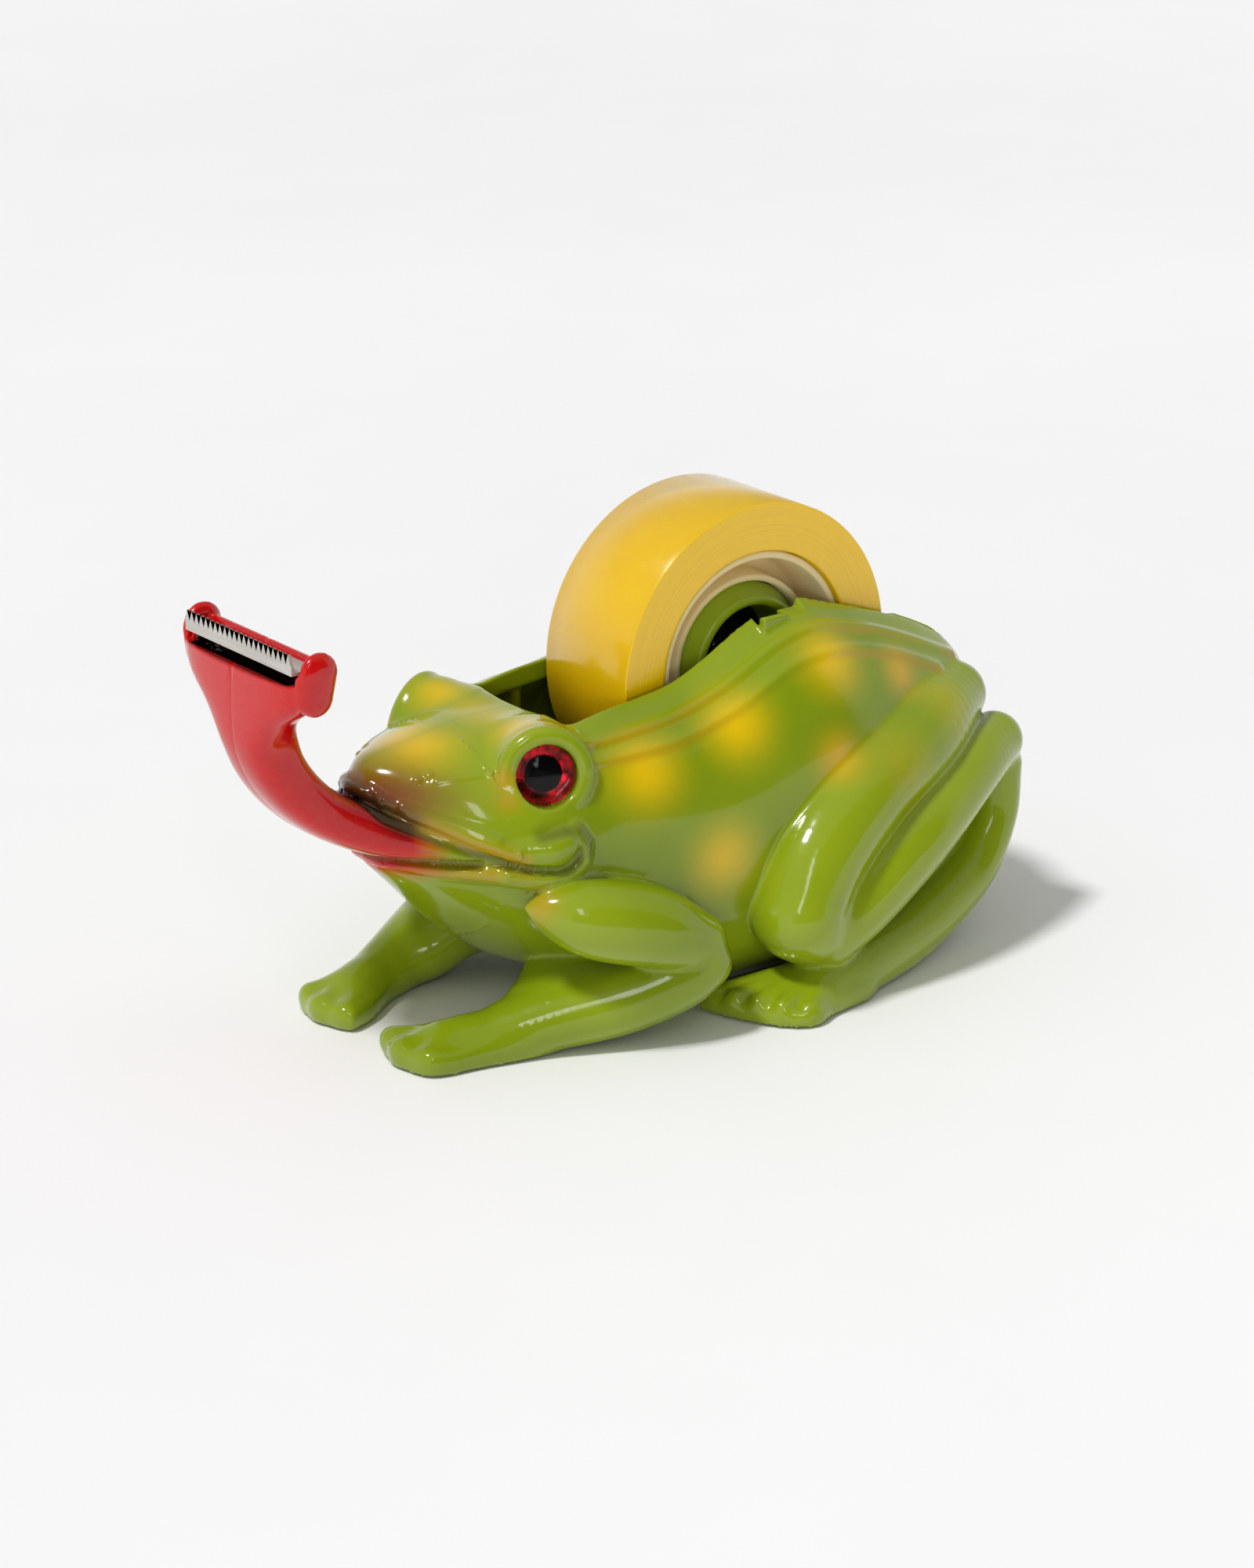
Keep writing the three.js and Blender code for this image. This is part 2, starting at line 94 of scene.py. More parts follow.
def carve(a, b, k):
    """Smooth cut of field b out of field a."""
    return -blend(-a, b, k)


FAR = 8.0


def within(P, low, high):
    """Which points lie inside a box."""
    return np.logical_and.reduce([(c > a) & (c < b) for c, a, b in zip(P, low, high)])


def near_only(P, low, high, field, elsewhere=FAR):
    """Works a field out only inside a box; elsewhere it has one value."""
    near = within(P, low, high)
    d = np.full(P[0].shape, elsewhere, P[0].dtype)
    if near.any():
        d[near] = field(tuple(c[near] for c in P))
    return d


def limb(P, path, steps=8, squash=(1, 1, 1)):
    """A tapered round limb: path rows are x, y, z, radius."""
    rows = spline(path, steps)
    reach = rows[:, 3].max() + FAR
    return near_only(P, rows[:, :3].min(0) - reach, rows[:, :3].max(0) + reach,
                     lambda part: tapered(part, rows, squash))


def tapered(P, rows, squash):
    """Distance to a chain of cones; squash narrows them along x, y and z."""
    X, Y, Z = P
    best = np.full(X.shape, 1e3, X.dtype)
    for (ax, ay, az, ra), (bx, by, bz, rb) in zip(rows[:-1], rows[1:]):
        dx, dy, dz = bx - ax, by - ay, bz - az
        qx, qy, qz = X - ax, Y - ay, Z - az
        t = np.clip((qx * dx + qy * dy + qz * dz) / (dx * dx + dy * dy + dz * dz), 0, 1)
        gap = np.sqrt(((qx - t * dx) / squash[0]) ** 2 + ((qy - t * dy) / squash[1]) ** 2
                      + ((qz - t * dz) / squash[2]) ** 2)
        np.minimum(best, gap - (ra + t * (rb - ra)), out=best)
    return best


def thread(P, rows):
    """Plain distance to a run of points."""
    X, Y, Z = P
    best = np.full(X.shape, 1e6, X.dtype)
    for (ax, ay, az), (bx, by, bz) in zip(rows[:-1], rows[1:]):
        dx, dy, dz = bx - ax, by - ay, bz - az
        qx, qy, qz = X - ax, Y - ay, Z - az
        t = np.clip((qx * dx + qy * dy + qz * dz) / (dx * dx + dy * dy + dz * dz), 0, 1)
        np.minimum(best, (qx - t * dx) ** 2 + (qy - t * dy) ** 2 + (qz - t * dz) ** 2, out=best)
    return np.sqrt(best)


def loft(P, stations, power_up, power_down):
    """Rounded sections along x. Stations are x, half width, bottom, top, widest z; the powers
    say how square a section is above and below its widest height."""
    table = spline(stations, 12)
    X, Y, Z = P
    up = Z > np.interp(X, table[:, 0], table[:, 4])
    power = np.where(up, power_up, power_down)

    def scaled(x):
        width = np.maximum(np.interp(x, table[:, 0], table[:, 1]), 0.05)
        low = np.interp(x, table[:, 0], table[:, 2])
        top = np.interp(x, table[:, 0], table[:, 3])
        mid = np.interp(x, table[:, 0], table[:, 4])
        reach = np.maximum(np.where(up, top - mid, mid - low), 0.05)
        u = np.abs(Y) / width
        v = np.abs(Z - mid) / reach
        return (u ** power + v ** power) ** (1 / power), u, v, width, reach

    r, u, v, width, reach = scaled(X)
    r = np.maximum(r, 1e-3)
    slope_y = (u / r) ** (power - 1) / width
    slope_z = (v / r) ** (power - 1) / reach
    step = 0.4
    slope_x = (scaled(X + step)[0] - scaled(X - step)[0]) / (2 * step) / np.maximum(r, 1)
    d = (r - 1) / np.maximum(np.sqrt(slope_x ** 2 + slope_y ** 2 + slope_z ** 2), 1e-3)
    d = np.maximum(d, np.maximum(table[0, 0] - X, X - table[-1, 0]))
    for past, row in ((X < table[0, 0], table[0]), (X > table[-1, 0], table[-1])):
        d = np.where(past, np.sqrt((X - row[0]) ** 2 + Y ** 2 + (Z - row[4]) ** 2), d)
    return np.clip(d, -30, 30)


def strap(P, path, power):
    """A flat strap on a curve in the x-z plane: rows x, z, half width, half thickness."""
    rows = spline(path, 8)
    X, Y, Z = P
    best = np.full(X.shape, 1e6)
    width = np.ones(X.shape)
    reach = np.ones(X.shape)
    for (ax, az, wa, ta), (bx, bz, wb, tb) in zip(rows[:-1], rows[1:]):
        dx, dz = bx - ax, bz - az
        t = np.clip(((X - ax) * dx + (Z - az) * dz) / (dx * dx + dz * dz), 0, 1)
        n = np.hypot(X - ax - t * dx, Z - az - t * dz)
        near = n < best
        best = np.where(near, n, best)
        width = np.where(near, wa + t * (wb - wa), width)
        reach = np.where(near, ta + t * (tb - ta), reach)
    u = np.abs(Y) / width
    v = best / reach
    r = np.maximum((u ** power + v ** power) ** (1 / power), 1e-3)
    slope = np.sqrt(((u / r) ** (power - 1) / width) ** 2 + ((v / r) ** (power - 1) / reach) ** 2)
    return (r - 1) / np.maximum(slope, 1e-3)


def box(P, low, high, rounding=0.0):
    """A block between two corners, with its edges rounded."""
    q = [np.abs(c - (a + b) / 2) - ((b - a) / 2 - rounding) for c, a, b in zip(P, low, high)]
    outside = np.sqrt(sum(np.maximum(c, 0) ** 2 for c in q))
    return outside + np.minimum(np.maximum(np.maximum(q[0], q[1]), q[2]), 0) - rounding


def slab(P, outline, top, rounding):
    """A flat sole: a smooth closed outline on the ground, drawn up to height `top` with round edges."""
    ring = spline(list(outline) + [outline[0]], 4)[:-1]
    X, Y, Z = P
    best = np.full(X.shape, 1e6, X.dtype)
    inside = np.zeros(X.shape, bool)
    for (ax, ay), (bx, by) in zip(ring, np.roll(ring, -1, axis=0)):
        dx, dy = bx - ax, by - ay
        qx, qy = X - ax, Y - ay
        t = np.clip((qx * dx + qy * dy) / (dx * dx + dy * dy), 0, 1)
        np.minimum(best, (qx - t * dx) ** 2 + (qy - t * dy) ** 2, out=best)
        crosses = (ay > Y) != (by > Y)
        span = by - ay if abs(by - ay) > 1e-9 else 1e-9
        inside ^= crosses & (qx < (Y - ay) * dx / span)
    flat = np.where(inside, -np.sqrt(best), np.sqrt(best)) + rounding
    high = np.abs(Z) - (top - rounding)
    outside = np.hypot(np.maximum(flat, 0), np.maximum(high, 0))
    return np.minimum(np.maximum(flat, high), 0) + outside - rounding


# ---- The frog's shape ----
# Loft stations are x, half width, bottom, top, widest z; limb and strap rows end in the radius or
# the half sizes; soles are outlines in x and y.
WALL = 2.8
BELLY_Z = 1.2
SOLE_Z = 0.3
TRUNK = [
    (-50, 0.3, 26, 34, 30), (-47, 12, 18, 42, 30), (-42, 17.5, 10.5, 45, 28.5),
    (-36, 20.6, 5.6, 46.6, 27), (-30, 22.2, 1.8, 47.6, 26), (-23, 23.4, -1.0, 48.2, 24.5),
    (-17, 24.2, -1.8, 49.2, 23.8), (-11, 24.9, -2, 51.8, 23.5), (-4, 25.4, -2, 55.6, 24),
    (4, 25.6, -2, 58.0, 24), (12, 25.0, -2, 56.0, 24), (22, 22.6, -1.5, 52.8, 25),
    (30, 20.0, 1, 49.6, 26), (36, 17.0, 5, 45.6, 27.5), (40.8, 11.0, 12, 39.2, 28),
    (42.8, 0.3, 24, 33, 28.5)]
UPPER_HEAD = [
    (-63.6, 0.3, 38.0, 39.6, 39.0), (-62.9, 3.0, 35.6, 41.2, 38.4), (-60.8, 6.4, 32.5, 42.6, 36.8),
    (-57.4, 10.9, 29.8, 43.3, 34.6), (-53.2, 15.5, 27.4, 44.0, 32.2), (-47.9, 19.3, 25, 44.9, 29.8),
    (-43, 21.0, 23, 45.5, 28.4), (-37, 20.8, 21, 45.4, 28), (-30, 18, 21, 43.0, 28),
    (-22, 12, 22, 37, 28), (-14, 0.3, 26, 30, 28)]
JAW = [
    (-62.6, 0.3, 28.0, 29.0, 28.6), (-61.8, 3.0, 26.6, 29.6, 28.4), (-59.6, 6.6, 24.4, 30.0, 28.1),
    (-56.2, 10.8, 20.9, 30.2, 27.7), (-52.2, 14.6, 16.6, 30.0, 27.3), (-47.2, 18.2, 12.2, 29.6, 26.9),
    (-42.6, 19.9, 9.0, 29.2, 26.8), (-37, 19.6, 7.4, 29, 26.6), (-30, 17.5, 7, 28.6, 25),
    (-22, 12, 10, 27, 22), (-14, 0.3, 16, 22, 20)]
UPPER_LIP = [
    (-64.6, 0, 38.7, 0.9), (-63.4, 2.6, 38.3, 1.0), (-60.8, 6.0, 36.9, 1.15), (-57.2, 10.4, 35.0, 1.3),
    (-52.9, 15.0, 32.7, 1.4), (-47.8, 18.6, 30.6, 1.5), (-44.4, 19.8, 30.0, 1.7)]
LOWER_LIP = [
    (-62.4, 0, 28.7, 0.9), (-61.6, 3.0, 28.5, 1.0), (-59.4, 6.6, 28.3, 1.2), (-56.4, 10.4, 28.1, 1.4),
    (-52.6, 14.4, 27.8, 1.5), (-48.8, 17.4, 27.4, 1.6), (-45.0, 19.4, 27.0, 1.7)]
TONGUE = [
    (-46, 29.6, 19.0, 1.0), (-53, 30.8, 15.9, 2.0), (-58.7, 32.0, 12.2, 2.8), (-64, 33.4, 8.7, 3.4),
    (-69.9, 36.5, 6.7, 3.5), (-74.3, 40.3, 5.9, 3.7), (-77.6, 44.8, 5.6, 3.9), (-79.3, 49.2, 5.9, 4.1),
    (-80.2, 53.2, 8.8, 3.5), (-80.4, 57.0, 13.4, 3.2), (-80.3, 62.4, 14.9, 3.2)]
UPPER_ARM = [
    (-48.4, 19.5, 23.0, 0.6), (-44.1, 21.0, 21.9, 3.9), (-39.2, 23.0, 20.3, 5.7),
    (-31.3, 25.2, 17.9, 5.8), (-24.4, 26.4, 14.4, 4.5)]
FOREARM = [
    (-23.6, 26.6, 11.4, 4.5), (-27, 25.4, 9.4, 4.9), (-34.1, 22.0, 6.6, 5.0), (-42.3, 18.1, 4.8, 4.7),
    (-51.8, 14.6, 2.8, 3.6), (-57.4, 12.2, 2.2, 3.0)]
FOREARM_WEB = [
    (-28, 17, 8.0, 5.0), (-36, 15.6, 6.6, 4.8), (-42.5, 14.6, 4.8, 4.0), (-48.5, 13.6, 3.2, 3.2)]
THROAT_WEB = [(-31, 11, 9.0, 5.0), (-37.5, 11.0, 8.2, 4.2), (-42.5, 12.5, 5.4, 3.4)]
THIGH = [
    (33.4, 14.6, 36.4, 5.0), (21.8, 19.4, 33.8, 7.2), (9.0, 22.8, 29.0, 7.4), (-1.1, 25.3, 22.3, 7.3),
    (-6.6, 27.3, 14.5, 6.6)]
KNEE = [(-4.5, 27.2, 12.6, 6.0), (2.0, 26.6, 12.6, 4.8)]
SHIN = [
    (38.6, 18.2, 29.0, 4.4), (28.6, 22.0, 26.9, 5.6), (16.4, 25.4, 21.2, 6.2), (5.6, 26.8, 14.6, 5.9),
    (-1.4, 27.2, 10.2, 5.0)]
TARSUS = [
    (39.9, 17.8, 25.0, 3.7), (38.8, 18.2, 17.0, 3.7), (32.6, 19.6, 9.6, 4.1), (18.8, 23.4, 4.8, 4.3),
    (5.6, 26.8, 3.4, 4.3), (-3.4, 28.4, 2.8, 4.2)]
HOCK_WEB = [(36, 13, 26, 3.6), (32, 14, 16, 4.2), (21, 16.6, 10, 4.2), (8, 20, 6, 4.0)]
FRONT_SOLE = [
    (-62.5, 3.9), (-64.7, 8.6), (-64.4, 13.6), (-62.2, 17.0), (-55.2, 18.1), (-47, 19.0), (-44, 17.2),
    (-50, 11.6), (-57.6, 5.6)]
FRONT_WRIST = (-54.5, 12.6, 2.6, 2.4)
FRONT_TIPS = [(-62.3, 5.9, 2.2, 1.8), (-63.2, 10.1, 2.3, 1.8), (-61.9, 14.6, 2.2, 1.8)]
HIND_SOLE = [
    (-18.4, 19.6), (-17.0, 24.6), (-15.0, 29.0), (-12.6, 32.6), (-8.8, 34.9), (-3.4, 33.0), (5, 31.0),
    (6, 24.2), (-6, 21.4)]
HIND_WRIST = (-1.0, 27.4, 4.4, 2.8)
HIND_TIPS = [
    (-16.4, 20.9, 2.4, 1.6), (-15.4, 24.4, 2.6, 1.6), (-13.8, 27.8, 2.6, 1.6), (-11.8, 30.8, 2.5, 1.6),
    (-8.6, 33.0, 2.4, 1.5)]
MOUTH_BULB = [(-48.0, 18.0, 31.0, 2.0), (-44.6, 19.3, 31.0, 2.8), (-42.9, 19.8, 31.5, 2.6)]
MOUTH_WRAP = [
    (-50, 17.4, 27.6, 1.6), (-45.7, 19.4, 27, 1.7), (-41.6, 20.3, 27.8, 1.8), (-39.8, 20.6, 30.4, 1.8),
    (-40.8, 20.4, 32.8, 1.5)]

# The cutter's seat on the tip of the tongue, as boxes and a limb.
TIP_CROWN = ((-92, -20, 61.6), (-70, 20, 75))
TIP_LUG = [(-78.8, 14.3, 62.0, 2.9), (-79.0, 13.9, 58.4, 2.6)]
TIP_WALL = ((-78.4, -1, 58), (-76.9, 14.0, 63.1))
TIP_CUTS = [((-92, -20, 61.7), (-78.2, 13.4, 75)), ((-92, -20, 60.4), (-81.0, 13.4, 75)),
            ((-82.2, -20, 57.0), (-79.8, 10.6, 75)), ((-82.2, -20, 59.4), (-79.6, 12.0, 75))]
# Boxes where the slot under the blade is painted near black, as painted shade.
SLOT_SHADE_BOX = ((-82.0, -20, 56.9), (-79.4, 12.0, 61.9))
SLOT_EDGE_SHADE_BOX = ((-84, -20, 60.5), (-79.4, 12.4, 61.9))

HEAD_TOP = ([-46, -36, -28, -20], [45.4, 45.1, 46.6, 62])    # the head is flat between the eyes: x, z
TONGUE_START = -70               # in front of this there is only the tongue

# The well in the back, and the cavity round it.
WELL_FRONT = -36.3
WELL_REAR = 37.5
WELL_HALF_WIDTH = 11.0
REAR_WALL = 36.5                 # where the cavity ends
WELL_RIBS = (-27, -18, 15, 24)   # their x
RIB_HALF = 0.8
CHEEK_HALF = 6                   # the solid block that the axle's slot is cut in
AXLE_SLOT = 2.3
AXLE_FIN = ((-2.6, 12.6, 48), (1.9, 14.4, 54.9))
RIM_NOTCH = ((1.9, -1, 54.6), (5.4, 16, 80))
SEAM = 0.012

EYE = np.array([-42.5, 15.7, 40.2])
EYE_TURN = math.radians(24)
EYE_LIFT = math.radians(10)
EYE_AXIS = np.array([-math.sin(EYE_TURN) * math.cos(EYE_LIFT), math.cos(EYE_TURN) * math.cos(EYE_LIFT),
                     math.sin(EYE_LIFT)])
EYE_RING = 5.6
EYE_RING_RADIUS = 1.4
EYE_BARREL = EYE_RING + 0.95
EYE_MOUND = [(-39.6, 7, 38.8, 6.5), (-41.2, 12.2, 39.6, 6.6)]
LENS_RADIUS = 4.45
SOCKET_DEPTH = 2.6


def head(P):
    """Upper head, jaw, lips and tongue."""
    upper = loft(P, UPPER_HEAD, 1.95, 3.0)
    jaw = loft(P, JAW, 3.0, 1.7)
    d = blend(jaw, strap(P, TONGUE, 3.0), 0.5)
    d = blend(d, limb(P, LOWER_LIP, 3), 0.8)
    d = blend(d, blend(upper, limb(P, UPPER_LIP, 3), 1.2), 0.4)
    d = blend(d, limb(P, MOUTH_BULB, 4), 0.6)
    return blend(d, limb(P, MOUTH_WRAP, 4), 0.8)


def eye_coordinates(P):
    """Distance from the eye's axis, and distance along it."""
    q = [c - o for c, o in zip(P, EYE)]
    along = sum(c * a for c, a in zip(q, EYE_AXIS))
    return np.sqrt(np.maximum(sum(c * c for c in q) - along ** 2, 0)), along


def turret(P):
    """The mound under the eye, and the ring round the lens."""
    r, along = eye_coordinates(P)
    barrel = np.maximum(r - EYE_BARREL, np.maximum(along + 1.2, -along - 8))
    ring = np.hypot(r - EYE_RING, along + 0.1) - EYE_RING_RADIUS
    return blend(limb(P, EYE_MOUND, 2), barrel, 2.0), ring


def eye_socket(P):
    r, along = eye_coordinates(P)
    return np.maximum(r - LENS_RADIUS, -SOCKET_DEPTH - along)


def front_leg(P):
    d = blend(limb(P, UPPER_ARM), limb(P, FOREARM), 0.7)
    d = blend(d, limb(P, FOREARM_WEB), 3.0)
    d = blend(d, limb(P, THROAT_WEB), 3.0)
    foot = slab(P, FRONT_SOLE, 3.4, 1.3)
    for tip in FRONT_TIPS:
        foot = blend(foot, limb(P, [FRONT_WRIST, tip], 2), 1.5)
    return blend(d, foot, 2.8)


def hind_leg(P):
    d = blend(blend(limb(P, THIGH), limb(P, SHIN), 0.9), limb(P, KNEE, 2), 0.9)
    foot = blend(limb(P, TARSUS), slab(P, HIND_SOLE, 2.8, 1.2), 1.6)
    for tip in HIND_TIPS:
        foot = blend(foot, limb(P, [HIND_WRIST, tip], 2), 0.9)
    return blend(blend(d, foot, 0.8), limb(P, HOCK_WEB, 4), 1.0)


def tongue_tip(P, d):
    """The blade's seat: two lugs, a back wall, and a slot under the toothed plate."""
    d = carve(d, box(P, *TIP_CROWN), 0.4)
    d = blend(d, limb(P, TIP_LUG, 2, (1, 0.45, 1)), 1.2)
    d = blend(d, box(P, *TIP_WALL, 0.5), 0.4)
    cuts = np.minimum.reduce([box(P, low, high) for low, high in TIP_CUTS])
    return carve(d, cuts, 0.25)


def skin(P):
    """The outside of the frog, before its fine lines."""
    d = blend(loft(P, TRUNK, 2.4, 2.4), tongue_tip(P, head(P)), 2.0)
    over_head = np.interp(P[0], *HEAD_TOP) - P[2]
    d = carve(d, np.where(P[0] < TONGUE_START, 20, over_head), 1.2)
    mound, ring = turret(P)
    d = blend(blend(d, mound, 2.0), ring, 0.4)
    d = blend(d, front_leg(P), 1.0)
    d = blend(d, hind_leg(P), 0.8)
    d = blend(d, box(P, *AXLE_FIN, 0.4), 0.6)
    return np.maximum(carve(d, eye_socket(P), 0.3), SOLE_Z - P[2])


def inside(P):
    """What is hollow: the trunk's cavity, the well's opening, the axle's slot."""
    trunk = loft(P, TRUNK, 2.4, 2.4)
    cavity = np.maximum(np.maximum(trunk + WALL, BELLY_Z + WALL - P[2]), P[0] - REAR_WALL)
    for x in WELL_RIBS:
        rib = box(P, (x - RIB_HALF, WELL_HALF_WIDTH + 1.2, 10), (x + RIB_HALF, 30, 60))
        cavity = np.maximum(cavity, -rib)
    cheek = box(P, (-CHEEK_HALF, WELL_HALF_WIDTH + 0.3, 34), (CHEEK_HALF, 30, 60))
    cavity = np.maximum(cavity, -cheek)
    opening = box(P, (WELL_FRONT, -5, 34), (WELL_REAR, WELL_HALF_WIDTH, 80), 0.2)
    slot = box(P, (-AXLE_SLOT, -1, AXLE_Z - AXLE_SLOT), (AXLE_SLOT, 13.3, 80), 0.2)
    return np.minimum(np.minimum(cavity, opening), slot)


def shell(P):
    """The hollow body, without its fine lines."""
    return carve(carve(skin(P), box(P, *RIM_NOTCH, 0.6), 0.8), inside(P), 0.5)


# Routes of the fine lines, as points near the surface.
MOUTH_LINE = [
    (-65.9, 2.6, 38.1), (-64.3, 6.8, 36.4), (-62.2, 8.5, 35.1), (-57.6, 12.8, 32.5),
    (-53.9, 15.6, 30.6), (-50.3, 18.2, 29.2), (-46.8, 20.4, 28.4), (-43.5, 21.6, 28.2),
    (-41.8, 21.9, 29.1), (-41.3, 21.8, 30.2)]
LOWER_SLIT = [
    (-63.2, 0.2, 28.6), (-62.2, 4.0, 28.9), (-60.6, 6.8, 29.0), (-56.8, 11.6, 29.1),
    (-53.6, 15.0, 29.1)]
LIP_RIDGES = [
    [(-61.0, 7.5, 37.2), (-58.6, 10.3, 36.3), (-56.1, 13.1, 35.2), (-53.2, 16.0, 33.9),
     (-51.8, 17.2, 33.1)],
    [(-60.5, 8.3, 36.0), (-58.2, 11.3, 35.1), (-55.7, 14.1, 33.9), (-52.8, 17.0, 32.4),
     (-49.8, 19.1, 31.0)]]
CORNER_CREASE = [
    (-38.9, 22.2, 30.1), (-39.5, 22.2, 32.5), (-41.6, 21.7, 34.2), (-44.1, 21.0, 34.4),
    (-46.1, 20.2, 33.6)]
CREASE = [(-56.2, 9.0, 40.3), (-53.2, 10.6, 40.7), (-49.4, 12.4, 41.1)]
NOSTRIL = (-57.5, 7.5, 40.8)
BACK_RIDGES = [
    [(-35.4, 16, 43.9), (-21.6, 16, 44.4), (-10.3, 16, 47.4), (-0.3, 16, 51.9), (8.4, 16, 52.5),
     (18.4, 16, 50.6), (29.6, 16, 46), (34, 14, 42.7)],
    [(-34.4, 18.2, 41.6), (-21.6, 18.6, 41.8), (-10.3, 18.8, 44.6), (-0.3, 18.8, 48.8),
     (8.4, 18.8, 49.6), (18.4, 18.4, 47.4), (28.6, 17.4, 42.6)]]
NOTCH_RIM = [(-3, 12.5, 56), (1, 13, 57), (3.4, 13.5, 57), (6, 12.5, 57)]
SLOT_RIM = [(-82, 0, 60.3), (-81.8, 6, 60.3), (-81, 12, 60.3)]
WELL_RIM = [(x, WELL_HALF_WIDTH, 47) for x in range(-34, 37, 5)]


def gradient(field, points, step=0.05):
    """Field and its slope at rows of points."""
    columns = points.T
    slope = []
    for axis in range(3):
        shift = np.zeros((3, 1))
        shift[axis] = step
        ahead = field(tuple(columns + shift))
        behind = field(tuple(columns - shift))
        slope.append((ahead - behind) / (2 * step))
    return field(tuple(columns)), np.stack(slope, axis=1)


def settle(points, field, rounds):
    """Moves points along the field's slope onto its surface."""
    points = np.array(points, float)
    for _ in range(rounds):
        d, slope = gradient(field, points)
        size = np.maximum((slope ** 2).sum(1), 0.05)
        move = np.clip(d / size, -0.6, 0.6)
        points -= move[:, None] * slope
    return points


def fine_lines():
    """Route, depth and width of each line. A negative depth is a ridge; a line without depth
    only makes the mesh finer along a sharp rim."""
    lines = [(MOUTH_LINE, 0.95, 0.6), (LOWER_SLIT, 0.9, 0.6), (CREASE, -0.3, 0.5),
             (CORNER_CREASE, 0.45, 1.2)]
    lines += [(rim, 0, 0.5) for rim in (NOTCH_RIM, SLOT_RIM, WELL_RIM)]
    lines += [(ridge, -0.45, 0.7) for ridge in LIP_RIDGES]
    lines += [(ridge, -0.55, 0.8) for ridge in BACK_RIDGES]
    nostril_rim = [np.array(NOSTRIL) + (1.0 * math.cos(a), 0.7 * math.sin(a), 0.8 * math.sin(a))
                   for a in np.linspace(0, 2 * math.pi, 13)]
    lines.append((nostril_rim, -0.5, 0.42))
    return [(settle(spline(points, 5), skin, 6), depth, width) for points, depth, width in lines]


LINES = fine_lines()


def finished(P):
    """The shell with its fine lines, the nostril's pit and the groove of the tongue's seam."""
    d = shell(P)
    for rows, depth, width in LINES:
        near = within(P, rows.min(0) - 3 * width, rows.max(0) + 3 * width)
        if near.any():
            gap = thread(tuple(c[near] for c in P), rows)
            d[near] += depth * np.exp(-(gap / width) ** 2)
    X, Y, Z = P
    pit = np.sqrt((X - NOSTRIL[0]) ** 2 + (Y - NOSTRIL[1]) ** 2 + (Z - NOSTRIL[2]) ** 2)
    d += 0.5 * np.exp(-(pit / 0.6) ** 2)
    return d + np.where(X < -64, 0.18, 0.0) * np.exp(-((Y - SEAM) / 0.25) ** 2)


# ---- From field to mesh ----
def sampled(field, low, size, step):
    """The field on a grid; only the blocks that the surface can cross are worked out in full."""
    block = 8                    # grid points along a block's edge
    batch = 2000                 # blocks worked out at a time
    counts = [int(math.ceil(s / step / block)) for s in size]
    grid = np.empty([n * block for n in counts], np.float32)
    centres = np.stack(np.meshgrid(*[np.arange(n) for n in counts], indexing="ij"), -1).reshape(-1, 3)
    middle = np.array(low) + (centres * block + (block - 1) / 2) * step
    rough = field(tuple(middle.T))
    near = np.abs(rough) < block * step * 1.25
    offsets = np.stack(np.meshgrid(*[np.arange(block)] * 3, indexing="ij"), -1).reshape(-1, 3)
    view = grid.reshape(counts[0], block, counts[1], block, counts[2], block)
    i, j, k = centres.T
    view[i, :, j, :, k, :] = rough[:, None, None, None]
    chosen = centres[near]
    for start in range(0, len(chosen), batch):
        part = chosen[start:start + batch]
        cells = part[:, None, :] * block + offsets[None]
        points = (np.array(low) + cells.reshape(-1, 3) * step).astype(np.float32)
        values = field(tuple(points.T)).reshape(len(part), block, block, block)
        view[part[:, 0], :, part[:, 1], :, part[:, 2], :] = values
    return grid


def surface(grid, low, step):
    """Naive surface nets: one vertex for each cell that the surface crosses, one quad for each edge."""
    solid = grid < 0
    nx, ny, nz = [n - 1 for n in grid.shape]
    corners = np.zeros((nx, ny, nz), np.int8)
    for a, b, c in np.ndindex(2, 2, 2):
        corners += solid[a:a + nx, b:b + ny, c:c + nz]
    cells = np.argwhere((corners > 0) & (corners < 8))
    index = np.full(corners.shape, -1, np.int32)
    index[tuple(cells.T)] = np.arange(len(cells))
    total = np.zeros((len(cells), 3))
    count = np.zeros(len(cells))
    for axis in range(3):
        others = [n for n in range(3) if n != axis]
        for corner in np.ndindex(2, 2):
            start = cells.copy()
            start[:, others] += corner
            end = start.copy()
            end[:, axis] += 1
            va, vb = grid[tuple(start.T)], grid[tuple(end.T)]
            crosses = (va < 0) != (vb < 0)
            t = np.where(crosses, va / np.where(crosses, va - vb, 1), 0)
            point = start.astype(float)
            point[:, axis] += t
            total += point * crosses[:, None]
            count += crosses
    vertices = np.array(low) + total / count[:, None] * step
    quads = []
    for axis in range(3):
        length = solid.shape[axis]
        first = solid.take(range(length - 1), axis)
        second = solid.take(range(1, length), axis)
        edges = np.argwhere(first != second)
        b, c = (axis + 1) % 3, (axis + 2) % 3
        edges = edges[(edges[:, b] > 0) & (edges[:, c] > 0)]
        edges = edges[(edges[:, b] < corners.shape[b]) & (edges[:, c] < corners.shape[c])]
        outward = first[tuple(edges.T)]
        ring = []
        for db, dc in ((-1, -1), (0, -1), (0, 0), (-1, 0)):
            cell = edges.copy()
            cell[:, b] += db
            cell[:, c] += dc
            ring.append(index[tuple(cell.T)])
        ring = np.stack(ring, 1)
        quads.append(np.where(outward[:, None], ring, ring[:, ::-1]))
    return vertices, np.vstack(quads)


def taken_out(bm):
    """A bmesh's points and faces as plain rows; the bmesh is freed."""
    points = np.array([v.co for v in bm.verts])
    faces = [[v.index for v in face.verts] for face in bm.faces]
    bm.free()
    return points, faces


